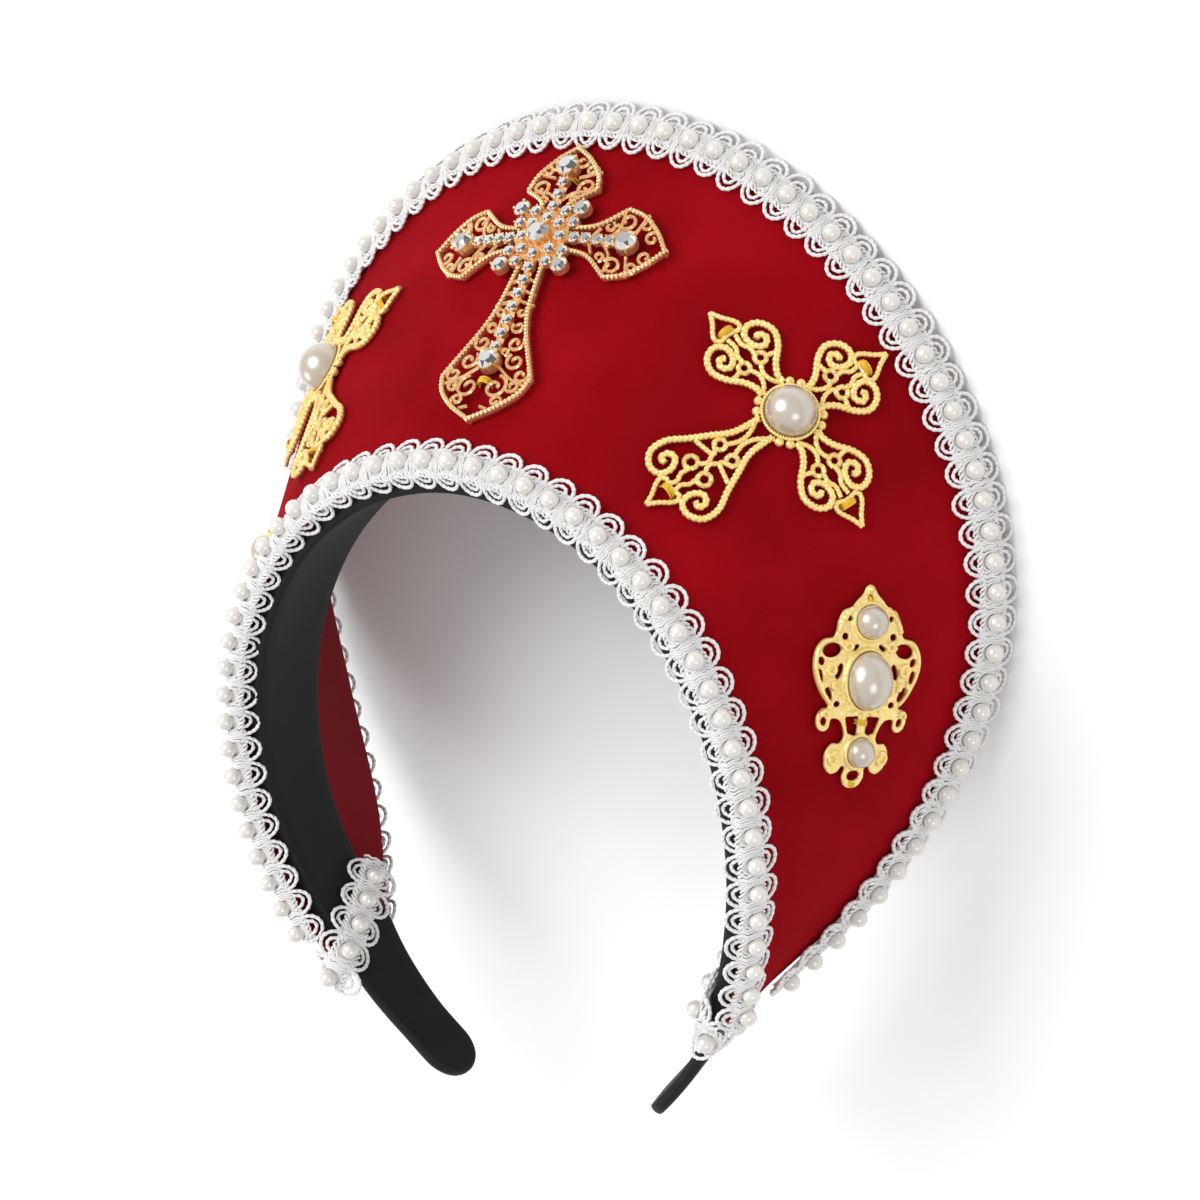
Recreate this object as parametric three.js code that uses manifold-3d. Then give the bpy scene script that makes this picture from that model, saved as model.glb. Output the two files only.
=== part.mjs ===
// A french hood: a stiff velvet crescent on a satin head band, edged with two strings of
// pearls on lace braid, and dressed with a cast cross and four filigree brooches.
// Millimetres, +Z up. The hood lies on its back, as it does by itself on a table: the rim's
// upper arc touches the table, the opening for the head faces up, +X is the wearer's left
// and +Y points to the crown. The origin is under the middle of the whole hood.
import * as THREE from 'three';
import { mergeVertices } from 'three/addons/utils/BufferGeometryUtils.js';
import Module from 'manifold-3d';

const wasm = await Module();
wasm.setup();

// The crescent: its inner edge is the hoop round the face, its outer edge the rim
const HOOP_HALF = 67.4; // half the opening's width where it is widest
const HOOP_LENGTH = 121; // from the hoop's crown down to the ends of the crescent
const HOOP_DROP = 17; // how much nearer the table the ends lie than the hoop's crown
const RIM_HALF = 92.8; // half the rim's width where it is widest
const CROWN_REACH = 61.5; // from the hoop's crown out to the rim's crown, along the table
const CROWN_RISE = 65.5; // from the rim's crown up to the hoop's crown
const HOOP_HEM = 1; // velvet past the row of pearls at the hoop
const RIM_HEM = 2; // velvet past the row of pearls at the rim
const VELVET_WALL = 1.6; // velvet over a stiff card
const LINING_WALL = 1; // cloth on the crescent's back
const SEAM_GAP = 0.4; // between two layers of the hood

// The head band
const BAND_WALL = 3; // springy core wrapped in satin
const BAND_CROWN_WIDTH = 27;
const BAND_END_WIDTH = 15.5; // at the ends of the crescent
const TIP_WIDTH = 12.5;
const TIP_LENGTH = 39; // the bare end past the crescent
const TIP_TURN = THREE.MathUtils.degToRad(25); // how far a tip curls inwards
const BAND_TUCK = THREE.MathUtils.degToRad(10); // how far the ends' back edge leans inwards
const BAND_EDGE = 1; // how far the rolled satin edge rounds in from either face
const BAND_TAPER = 1.6; // above 1, the band keeps its crown width longer before it narrows
const TIP_TAPER_END = 0.6; // share of the tip where it has narrowed to TIP_WIDTH
const TIP_ROUND_START = 0.8; // share of the tip where its round end begins
const TIP_ROUND_REACH = 0.21; // share of the tip that the round end would take in full
const TIP_ROUND_STOPS = [0.93, 0.98, 1]; // sections along the round end

// The pearl braid
const PEARL_RADIUS = 2;
const PEARL_PITCH = 6.67;
const BRAID_HALF = 6.2; // from the pearls to the tips of the thread loops
const BRAID_WALL = 1.2;
const HOOP_PHASE = 0.32; // where the first pearl sits past the crown, in pitches
const RIM_PHASE = 0.4;
const BRAID_END_ROOM = 2; // bare seam left past the last pearl
const TAIL_PEARLS = 4; // pearls on the end that is folded over the band
const TAIL_RISE = 10.5; // how much higher the tail meets the band's back edge than its front
const TAIL_PAST_END = 5.5; // how far the tail's middle loops reach past the crescent's end

// The brooches
const CAST_LIFT = 0.7; // from the velvet to a brooch's back
const STONE_SEAT = 0.3; // between a pearl and the cup that holds it
const CROSS_WALL = 1.8;
const CROSS_SIDE_ARM = 30;
const CROSS_SIDE_STONE = 20.5; // from the middle to the stone in an arm's head
const CROSS_TOP_ARM = 25;
const CROSS_TOP_STONE = 18.5;
const CROSS_LONG_ARM = 48;
const CROSS_LONG_STONE = 33;
const CROSS_ARM_HALF = 9.3; // half the flared width of a short arm
const CROSS_LONG_HALF = 11.8;
const CROSS_HEAD = 11.5; // from the flared corners to an arm's tip
const CROSS_NECK = 3.2; // half the width of an arm beside the middle
const CROSS_HUB = 6; // radius of the ring of stones round the middle
const CROSS_HUB_EDGE = 1.6; // metal past that ring
const CROSS_HUB_FLARE = 1; // how much wider the hub is at its back
const CROSS_HUB_RISE = 0.3; // how far the hub stands over the arms
const CENTRE_STONE_RADIUS = 3.1;
const CORNER_STONE_RADIUS = 2; // the four between the arms
const ARM_STONE_RADIUS = 2.3; // one in each arm's head
const CHIP_RADIUS = 1.15; // the rows along the arms
const CHIP_PITCH = 2.7;
const FILIGREE_WALL = 1.2;
const FLEUR_SIDE_ARM = 28;
const FLEUR_TOP_ARM = 25;
const FLEUR_LONG_ARM = 37;
const FLEUR_LOBE = 8.2; // half the width over an arm's two lobes
const FLEUR_LONG_LOBE = 10.4;
const FLEUR_NECK = 2.3;
const FLEUR_HEAD = 15; // from an arm's narrowest place to its tip
const FLEUR_LONG_HEAD = 17.5;
const FLEUR_LONG_NECK = 4.6; // where the long arm's head begins
const FLEUR_HUB = 8.6;
const FLEUR_PEARL = 5.5;
const DROP_HALF = 13;
const DROP_TOP = 19.7; // from the oval pearl's middle up to the finial
const DROP_FOOT = 23.3; // from the oval pearl's middle down to the foot
const DROP_OVAL_HALF = 5;
const DROP_OVAL_LENGTH = 6.1;
const DROP_TOP_PEARL = 3.5;
const DROP_FOOT_PEARL = 3.2;
const DROP_TOP_REACH = 12.2; // from the oval pearl up to the top pearl
const DROP_FOOT_REACH = 15.1; // from the oval pearl down to the foot pearl

// Fineness of the meshes
const CRESCENT_STEPS = 34;
const CRESCENT_COLUMNS = 2;
const BAND_STEPS = 33;
const TIP_STEPS = 4;
const BEAD_SIDES = 10;
const STONE_FACETS = 8;
const STONE_ROOT = 0.4; // how deep a cup is set into its plate
const WALK_STEPS = 6;
const BEND_ERROR = 0.25;
const HOLE_SIDES = 5;
const HUB_SIDES = 12;
const SEAM_STEPS = 400;

// Half of the crescent from the crown (at 0) to its end (at 1). hoopOut is a share of
// HOOP_HALF, hoopDown of HOOP_LENGTH, hoopDrop of HOOP_DROP and rimOut of RIM_HALF. rimDown
// and rimLift are shares of the way from the rim's crown to its end, along and above the table.
const SECTION_COLUMNS = ['at', 'hoopOut', 'hoopDown', 'hoopDrop', 'rimOut', 'rimDown', 'rimLift'];
const SECTIONS = [
  [0.0, 0.0, 0.0, 0.0, 0.0, 0.0, 0.0],
  [0.125, 0.294, 0.027, 0.011, 0.328, 0.032, 0.0],
  [0.25, 0.559, 0.102, 0.056, 0.615, 0.12, 0.0],
  [0.375, 0.772, 0.217, 0.113, 0.838, 0.251, 0.0],
  [0.5, 0.919, 0.362, 0.203, 0.971, 0.41, 0.0],
  [0.625, 0.991, 0.521, 0.323, 0.992, 0.583, 0.014],
  [0.75, 0.992, 0.687, 0.484, 0.898, 0.746, 0.144],
  [0.875, 0.927, 0.847, 0.704, 0.738, 0.89, 0.462],
  [1.0, 0.816, 1.0, 0.988, 0.566, 1.0, 1.0],
].map((row) => Object.fromEntries(SECTION_COLUMNS.map((name, i) => [name, row[i]])));

// Directions of the worn hood in this lying pose: the hoop's plane leans with its drop
const hoopLean = Math.atan2(HOOP_DROP, HOOP_LENGTH);
const backward = new THREE.Vector3(0, Math.sin(hoopLean), -Math.cos(hoopLean));
const coverWall = VELVET_WALL + SEAM_GAP + LINING_WALL;
const bandSet = coverWall + SEAM_GAP; // from the hoop's edge in to the band's outer face

function ramp(value, from, to) {
  const share = THREE.MathUtils.clamp((value - from) / (to - from), 0, 1);
  return share * share;
}

// A smooth curve through a point for each section, on both sides of the crown
function mirroredCurve(pointOf) {
  const right = SECTIONS.map(pointOf);
  const left = right.slice(1).reverse().map((p) => new THREE.Vector3(-p.x, p.y, p.z));
  return new THREE.CatmullRomCurve3([...left, ...right], false, 'catmullrom', 0.5);
}

const hoopCurve = mirroredCurve((row) => new THREE.Vector3(
  HOOP_HALF * row.hoopOut,
  -HOOP_LENGTH * row.hoopDown,
  -HOOP_DROP * row.hoopDrop,
));

function hoopAt(u) {
  return hoopCurve.getPoint((u + 1) / 2);
}

// The band's axes at a section: along it, inwards to the head, and from front to back edge
function bandAxes(u) {
  const along = hoopCurve.getTangent((u + 1) / 2);
  along.addScaledVector(backward, -along.dot(backward)).normalize();
  const inward = new THREE.Vector3().crossVectors(backward, along).normalize();
  const tuck = BAND_TUCK * ramp(Math.abs(u), 0.8, 1);
  const across = backward.clone().multiplyScalar(Math.cos(tuck)).addScaledVector(inward, Math.sin(tuck));
  const depth = new THREE.Vector3().crossVectors(along, across).normalize();
  if (depth.dot(inward) < 0) depth.negate();
  return { along, inward, across, depth };
}

// The rim ends on the band's outer face, at its back edge
const lastRow = SECTIONS[SECTIONS.length - 1];
const rimEnd = hoopAt(1).addScaledVector(bandAxes(1).across, BAND_END_WIDTH);
const rimCurve = mirroredCurve((row) => {
  const meet = ramp(row.at, 0.7, 1);
  const out = RIM_HALF * row.rimOut;
  return new THREE.Vector3(
    out + (rimEnd.x - RIM_HALF * lastRow.rimOut) * meet,
    THREE.MathUtils.lerp(CROWN_REACH, rimEnd.y, row.rimDown),
    THREE.MathUtils.lerp(-CROWN_RISE, rimEnd.z, row.rimLift),
  );
});

// A point of the crescent's front, v running from the hoop's pearls to the rim's pearls
function crescentAt(u, v) {
  const t = (u + 1) / 2;
  return hoopCurve.getPoint(t).lerp(rimCurve.getPoint(t), v);
}

function slopeU(u, v) {
  const step = 1e-3;
  const low = Math.max(-1, u - step);
  const high = Math.min(1, u + step);
  return crescentAt(high, v).sub(crescentAt(low, v)).divideScalar(high - low);
}

function slopeV(u) {
  return crescentAt(u, 1).sub(crescentAt(u, 0));
}

function crescentNormal(u, v) {
  return new THREE.Vector3().crossVectors(slopeU(u, v), slopeV(u)).normalize();
}

// A point that stands a height off the velvet
function offVelvet(u, v, height) {
  return crescentAt(u, v).addScaledVector(crescentNormal(u, v), height);
}

// One closed mesh from points and triangles, with its faces turned outwards
function solid(points, faces) {
  let volume = 0;
  for (const [a, b, c] of faces) {
    volume += points[a].dot(new THREE.Vector3().crossVectors(points[b], points[c]));
  }
  const wound = volume < 0 ? faces.map(([a, b, c]) => [a, c, b]) : faces;
  const geometry = new THREE.BufferGeometry();
  const numbers = points.flatMap((p) => p.toArray());
  geometry.setAttribute('position', new THREE.Float32BufferAttribute(numbers, 3));
  geometry.setIndex(wound.flat());
  return geometry;
}

// A solid through closed rings of points, flat at both ends. Each four-sided patch is split
// along its shorter diagonal, so layers that lie on each other bend alike.
function loft(rings) {
  const sides = rings[0].length;
  const points = rings.flat();
  const faces = [];
  for (let r = 0; r + 1 < rings.length; r += 1) {
    for (let i = 0; i < sides; i += 1) {
      const a = r * sides + i;
      const b = r * sides + ((i + 1) % sides);
      const [c, d] = [b + sides, a + sides];
      if (points[a].distanceTo(points[c]) < points[b].distanceTo(points[d])) {
        faces.push([a, b, c], [a, c, d]);
      } else {
        faces.push([a, b, d], [b, c, d]);
      }
    }
  }
  const last = (rings.length - 1) * sides;
  for (let i = 0; i < sides / 2 - 1; i += 1) {
    const [a, b, c, d] = [i, i + 1, sides - 2 - i, sides - 1 - i];
    faces.push([a, c, b], [a, d, c]);
    faces.push([last + a, last + b, last + c], [last + a, last + c, last + d]);
  }
  return solid(points, faces);
}

// A layer of the crescent between two depths under the velvet's face
function crescentLayer(top, bottom) {
  const rings = [];
  for (let i = 0; i <= CRESCENT_STEPS; i += 1) {
    const u = (2 * i) / CRESCENT_STEPS - 1;
    const width = slopeV(u).length();
    const from = -HOOP_HEM / width;
    const to = 1 + RIM_HEM / width;
    const front = [];
    const back = [];
    for (let j = 0; j <= CRESCENT_COLUMNS; j += 1) {
      const v = THREE.MathUtils.lerp(from, to, j / CRESCENT_COLUMNS);
      front.push(offVelvet(u, v, -top));
      back.unshift(offVelvet(u, v, -bottom));
    }
    rings.push([...front, ...back]);
  }
  return loft(rings);
}

// The head band: sections along the hoop and past it to both tips
function bandWidth(u) {
  return THREE.MathUtils.lerp(BAND_CROWN_WIDTH, BAND_END_WIDTH, Math.abs(u) ** BAND_TAPER);
}

function bandSection(corner, across, depth, width, full) {
  const inset = (full - width) / 2;
  const edge = Math.min(BAND_EDGE, width / 3);
  const outline = [
    [edge, 0], [width - edge, 0], [width, BAND_WALL / 2],
    [width - edge, BAND_WALL], [edge, BAND_WALL], [0, BAND_WALL / 2],
  ];
  return outline.map(([w, d]) => (
    corner.clone().addScaledVector(across, inset + w).addScaledVector(depth, d)));
}

function tipSections() {
  const axes = bandAxes(1);
  const sections = [];
  const corner = hoopAt(1).addScaledVector(axes.inward, bandSet);
  const ends = [...Array(TIP_STEPS).keys()].map((i) => (i + 1) / TIP_STEPS);
  const stops = [...ends.slice(0, -1), ...TIP_ROUND_STOPS];
  let from = 0;
  for (const t of stops) {
    const middle = (from + t) / 2;
    const turn = TIP_TURN * (1 - (1 - middle) ** 2);
    corner.addScaledVector(axes.along, Math.cos(turn) * (t - from) * TIP_LENGTH);
    corner.addScaledVector(axes.inward, Math.sin(turn) * (t - from) * TIP_LENGTH);
    const heading = TIP_TURN * (1 - (1 - t) ** 2);
    const inward = axes.inward.clone().multiplyScalar(Math.cos(heading));
    inward.addScaledVector(axes.along, -Math.sin(heading));
    const across = backward.clone().multiplyScalar(Math.cos(BAND_TUCK));
    across.addScaledVector(inward, Math.sin(BAND_TUCK));
    const depth = inward.clone().multiplyScalar(Math.cos(BAND_TUCK));
    depth.addScaledVector(backward, -Math.sin(BAND_TUCK));
    const full = THREE.MathUtils.lerp(BAND_END_WIDTH, TIP_WIDTH, Math.min(1, t / TIP_TAPER_END));
    const rounded = Math.max(0, t - TIP_ROUND_START) / TIP_ROUND_REACH;
    const round = Math.sqrt(1 - rounded ** 2);
    sections.push(bandSection(corner, across, depth, full * round, BAND_END_WIDTH));
    from = t;
  }
  return sections;
}

function mirrorRing(ring) {
  return ring.map((p) => new THREE.Vector3(-p.x, p.y, p.z));
}

function headBand() {
  const middle = [];
  for (let i = 0; i <= BAND_STEPS; i += 1) {
    const u = (2 * (i + 0.5)) / (BAND_STEPS + 1) - 1;
    const { inward, across, depth } = bandAxes(u);
    const corner = hoopAt(u).addScaledVector(inward, bandSet);
    middle.push(bandSection(corner, across, depth, bandWidth(u), bandWidth(u)));
  }
  const tips = tipSections();
  return loft([...tips.map(mirrorRing).reverse(), ...middle, ...tips]);
}

// A point on the band's inner face: rise up the band from the crescent's end, negative on
// the bare tip, and width from the band's front edge
function insideBand(rise, width, height) {
  const bandRun = hoopAt(1).distanceTo(hoopAt(0.9)) / 0.1;
  const u = Math.min(1, 1 - rise / bandRun);
  const past = Math.max(0, -rise);
  const tipInset = TIP_TURN * (past ** 2 / TIP_LENGTH - past ** 3 / (3 * TIP_LENGTH ** 2));
  const { along, inward, across, depth } = bandAxes(u);
  const corner = hoopAt(u).addScaledVector(inward, bandSet + tipInset).addScaledVector(along, past);
  return corner.addScaledVector(across, width).addScaledVector(depth, BAND_WALL + height);
}

// A string of pearls on lace braid. place(along, across, height) gives a point over the cloth
function pearlBraid(place, middles) {
  const points = [];
  const faces = [];
  const low = SEAM_GAP;
  const high = SEAM_GAP + BRAID_WALL;
  const profile = [[-BRAID_HALF, low], [-BRAID_HALF, high], [BRAID_HALF, high], [BRAID_HALF, low]];
  const edges = [...middles.map((s) => s - PEARL_PITCH / 2), middles[middles.length - 1] + PEARL_PITCH / 2];
  for (const s of edges) {
    for (const [across, height] of profile) points.push(place(s, across, height));
  }
  faces.push([0, 1, 2], [0, 2, 3]);
  const last = (edges.length - 1) * 4;
  faces.push([last, last + 2, last + 1], [last, last + 3, last + 2]);
  const bead = [
    { radius: 0.92 * PEARL_RADIUS, height: high },
    { radius: 0.86 * PEARL_RADIUS, height: high + 1.15 * PEARL_RADIUS },
  ];
  const top = high + 1.65 * PEARL_RADIUS;
  middles.forEach((s, cell) => {
    const a = cell * 4;
    const b = a + 4;
    for (const [i, j] of [[0, 1], [2, 3], [3, 0]]) {
      faces.push([a + i, b + j, a + j], [a + i, b + i, b + j]);
    }
    const first = points.length;
    for (const { radius, height } of bead) {
      for (let k = 0; k < BEAD_SIDES; k += 1) {
        const angle = (2 * Math.PI * (k + 0.5)) / BEAD_SIDES;
        points.push(place(s + radius * Math.cos(angle), radius * Math.sin(angle), height));
      }
    }
    const tip = points.length;
    points.push(place(s, 0, top));
    const corners = [b + 2, a + 2, a + 1, b + 1];
    const quarter = (k) => Math.floor((4 * ((k + 1) % BEAD_SIDES)) / BEAD_SIDES);
    for (let k = 0; k < BEAD_SIDES; k += 1) {
      const next = (k + 1) % BEAD_SIDES;
      const corner = corners[quarter(k)];
      faces.push([first + k, corner, first + next]);
      const after = corners[quarter(next)];
      if (after !== corner) faces.push([first + next, corner, after]);
      const ring = first + BEAD_SIDES;
      faces.push([first + k, first + next, ring + next], [first + k, ring + next, ring + k]);
      faces.push([ring + k, ring + next, tip]);
    }
  });
  return solid(points, faces);
}

// Arc length along a seam at the pearls' height, as a table of u against length
function seamLengths(v) {
  const height = SEAM_GAP + BRAID_WALL + 0.6 * PEARL_RADIUS;
  const table = [{ u: 0, length: 0 }];
  let before = offVelvet(0, v, height);
  for (let i = 1; i <= SEAM_STEPS; i += 1) {
    const u = i / SEAM_STEPS;
    const here = offVelvet(u, v, height);
    table.push({ u, length: table[i - 1].length + here.distanceTo(before) });
    before = here;
  }
  return table;
}

function uAtLength(table, length) {
  const wanted = Math.abs(length);
  const i = Math.max(1, table.findIndex((row) => row.length >= wanted));
  const above = table[i];
  const below = table[i - 1];
  const share = (wanted - below.length) / (above.length - below.length);
  return Math.sign(length) * THREE.MathUtils.lerp(below.u, above.u, share);
}

function seamBraid(v, phase) {
  const table = seamLengths(v);
  const reach = table[table.length - 1].length - BRAID_END_ROOM;
  const place = (along, across, height) => {
    const u = uAtLength(table, along);
    return offVelvet(u, v + across / slopeV(u).length(), height);
  };
  const middles = [];
  const count = Math.ceil(reach / PEARL_PITCH);
  for (let k = -count; k <= count; k += 1) {
    const s = (k + phase) * PEARL_PITCH;
    if (Math.abs(s) + PEARL_PITCH / 2 < reach + BRAID_END_ROOM) middles.push(s);
  }
  return pearlBraid(place, middles);
}

// The braid's end, folded over the band and laid slantwise on its inner face
function braidTail(side) {
  const slant = Math.atan2(TAIL_RISE, BAND_END_WIDTH);
  const length = TAIL_PEARLS * PEARL_PITCH;
  const middleWidth = BAND_END_WIDTH / 2;
  const middleRise = TAIL_RISE / 2 + BRAID_HALF - TAIL_PAST_END;
  const place = (along, across, height) => {
    const width = middleWidth + along * Math.cos(slant) - across * Math.sin(slant);
    const rise = middleRise + along * Math.sin(slant) + across * Math.cos(slant);
    const p = insideBand(rise, width, height);
    return new THREE.Vector3(side * p.x, p.y, p.z);
  };
  const middles = [];
  for (let k = 0; k < TAIL_PEARLS; k += 1) middles.push((k + 0.5) * PEARL_PITCH - length / 2);
  return pearlBraid(place, middles);
}

// Bends a flat brooch onto the crescent: a walk over the cloth from the anchor, straight
// as a thread would be pulled, takes each flat point to its place
function laidOn({ u, v, turn }) {
  return (a, b, height) => {
    let here = { u, v };
    const up = slopeV(u).normalize();
    const side = new THREE.Vector3().crossVectors(up, crescentNormal(u, v)).normalize();
    const right = side.clone().multiplyScalar(Math.cos(turn)).addScaledVector(up, Math.sin(turn));
    const top = up.clone().multiplyScalar(Math.cos(turn)).addScaledVector(side, -Math.sin(turn));
    const stride = right.multiplyScalar(a / WALK_STEPS).addScaledVector(top, b / WALK_STEPS);
    const reach = stride.length();
    for (let i = 0; i < WALK_STEPS; i += 1) {
      const du = slopeU(here.u, here.v);
      const dv = slopeV(here.u);
      const [e, f, g] = [du.dot(du), du.dot(dv), dv.dot(dv)];
      const [p, q] = [stride.dot(du), stride.dot(dv)];
      const area = e * g - f * f;
      here = { u: here.u + (g * p - f * q) / area, v: here.v + (e * q - f * p) / area };
      const normal = crescentNormal(here.u, here.v);
      stride.addScaledVector(normal, -stride.dot(normal));
      if (reach > 0) stride.setLength(reach);
    }
    return offVelvet(here.u, here.v, height);
  };
}

// A flat plate with round holes cut through it, standing on the plane of height 0
function piercedPlate(outline, holes, wall) {
  const shape = new THREE.Shape(outline.map(([x, y]) => new THREE.Vector2(x, y)));
  for (const { x, y, radius } of holes) {
    const hole = new THREE.Path();
    for (let i = 0; i < HOLE_SIDES; i += 1) {
      const angle = (2 * Math.PI * (i + 0.5)) / HOLE_SIDES;
      const point = [x + radius * Math.cos(angle), y + radius * Math.sin(angle)];
      if (i === 0) hole.moveTo(...point);
      else hole.lineTo(...point);
    }
    hole.closePath();
    shape.holes.push(hole);
  }
  return new THREE.ExtrudeGeometry(shape, { depth: wall, bevelEnabled: false, curveSegments: 1 });
}

function toManifold(geometry) {
  const bare = geometry.clone();
  bare.deleteAttribute('normal');
  bare.deleteAttribute('uv');
  const merged = mergeVertices(bare, 1e-4);
  return new wasm.Manifold(new wasm.Mesh({
    numProp: 3,
    vertProperties: new Float32Array(merged.attributes.position.array),
    triVerts: new Uint32Array(merged.index.array),
  }));
}

function joined(geometries) {
  const whole = geometries.map(toManifold).reduce((sum, next) => sum.add(next));
  const mesh = whole.getMesh();
  const geometry = new THREE.BufferGeometry();
  geometry.setAttribute('position', new THREE.Float32BufferAttribute(mesh.vertProperties, 3));
  geometry.setIndex([...mesh.triVerts]);
  return geometry;
}

// Cuts a triangle where some of its edges were given a middle point
function cutFace([a, b, c], middleOf) {
  const [ab, bc, ca] = [middleOf(a, b), middleOf(b, c), middleOf(c, a)];
  if (ab === undefined && bc === undefined && ca === undefined) return [[a, b, c]];
  if (ab === undefined) return cutFace([b, c, a], middleOf);
  if (bc === undefined && ca === undefined) return [[a, ab, c], [ab, b, c]];
  if (bc === undefined) return [[a, ab, ca], [ab, b, c], [ab, c, ca]];
  if (ca === undefined) return [[a, ab, c], [ab, b, bc], [ab, bc, c]];
  return [[a, ab, ca], [ab, b, bc], [ca, bc, c], [ab, bc, ca]];
}

// Bends a flat geometry by place(a, b, height). An edge is halved where its straight run
// would leave the bent surface by more than BEND_ERROR. Side -1 gives the mirror copy.
function bent(geometry, place, side) {
  const position = geometry.attributes.position;
  const flat = [];
  for (let i = 0; i < position.count; i += 1) {
    flat.push(new THREE.Vector3().fromBufferAttribute(position, i));
  }
  const points = flat.map((p) => place(p.x, p.y, p.z));
  let faces = [];
  const index = geometry.index.array;
  for (let i = 0; i < index.length; i += 3) faces.push([index[i], index[i + 1], index[i + 2]]);
  let cuts;
  do {
    cuts = new Map();
    const keyOf = (a, b) => `${Math.min(a, b)} ${Math.max(a, b)}`;
    for (const [a, b] of faces.flatMap(([p, q, r]) => [[p, q], [q, r], [r, p]])) {
      const key = keyOf(a, b);
      if (cuts.has(key)) continue;
      const middle = flat[a].clone().lerp(flat[b], 0.5);
      const onSurface = place(middle.x, middle.y, middle.z);
      if (onSurface.distanceTo(points[a].clone().lerp(points[b], 0.5)) > BEND_ERROR) {
        cuts.set(key, points.length);
        flat.push(middle);
        points.push(onSurface);
      }
    }
    const middleOf = (a, b) => cuts.get(keyOf(a, b));
    faces = faces.flatMap((face) => cutFace(face, middleOf));
  } while (cuts.size > 0);
  return solid(points.map((p) => new THREE.Vector3(side * p.x, p.y, p.z)), faces);
}

// A stack of rings round an upright axis, closed below and brought to a flat or a point above
function turned(x, y, rings, sides, stretch = 1) {
  const loops = rings.map(({ radius, height }) => {
    const loop = [];
    for (let i = 0; i < sides; i += 1) {
      const angle = (2 * Math.PI * i) / sides;
      const [c, s] = [radius * Math.cos(angle), stretch * radius * Math.sin(angle)];
      loop.push(new THREE.Vector3(x + c, y + s, height));
    }
    return loop;
  });
  return loft(loops);
}

// A cut stone in its cup: eight facets round a flat table
function stone(x, y, radius, base) {
  return turned(x, y, [
    { radius, height: base - STONE_ROOT },
    { radius, height: base + 0.35 * radius },
    { radius: 0.55 * radius, height: base + 0.75 * radius },
  ], STONE_FACETS);
}

// A small stone of a row, without the cup
function chipStone(x, y, radius, base) {
  return turned(x, y, [
    { radius: 1.1 * radius, height: base - STONE_ROOT },
    { radius: 0.6 * radius, height: base + 0.8 * radius },
  ], STONE_FACETS);
}

// A half pearl with a flat back
function halfPearl(x, y, radius, base, stretch = 1) {
  return turned(x, y, [
    { radius, height: base },
    { radius: 0.86 * radius, height: base + 0.65 * radius },
    { radius: 0.4 * radius, height: base + 1.08 * radius },
  ], BEAD_SIDES, stretch);
}

// The outline of a cross from four arms, each a list of [along, half width] from neck to tip
function crossOutline(arms, hub) {
  const outline = [];
  arms.forEach((arm, quarter) => {
    const angle = (Math.PI / 2) * quarter;
    const [c, s] = [Math.cos(angle), Math.sin(angle)];
    const sideways = [...arm.map(([l, w]) => [l, -w]), ...arm.slice(0, -1).reverse()];
    for (const [l, w] of sideways) outline.push([l * c - w * s, l * s + w * c]);
    outline.push([hub * Math.cos(angle + Math.PI / 4), hub * Math.sin(angle + Math.PI / 4)]);
  });
  return outline;
}

// Round features given along and beside an arm, turned to the arm's quarter
function onArm(quarter, along, beside) {
  const angle = (Math.PI / 2) * quarter;
  const [c, s] = [Math.cos(angle), Math.sin(angle)];
  return { x: along * c - beside * s, y: along * s + beside * c };
}

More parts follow.
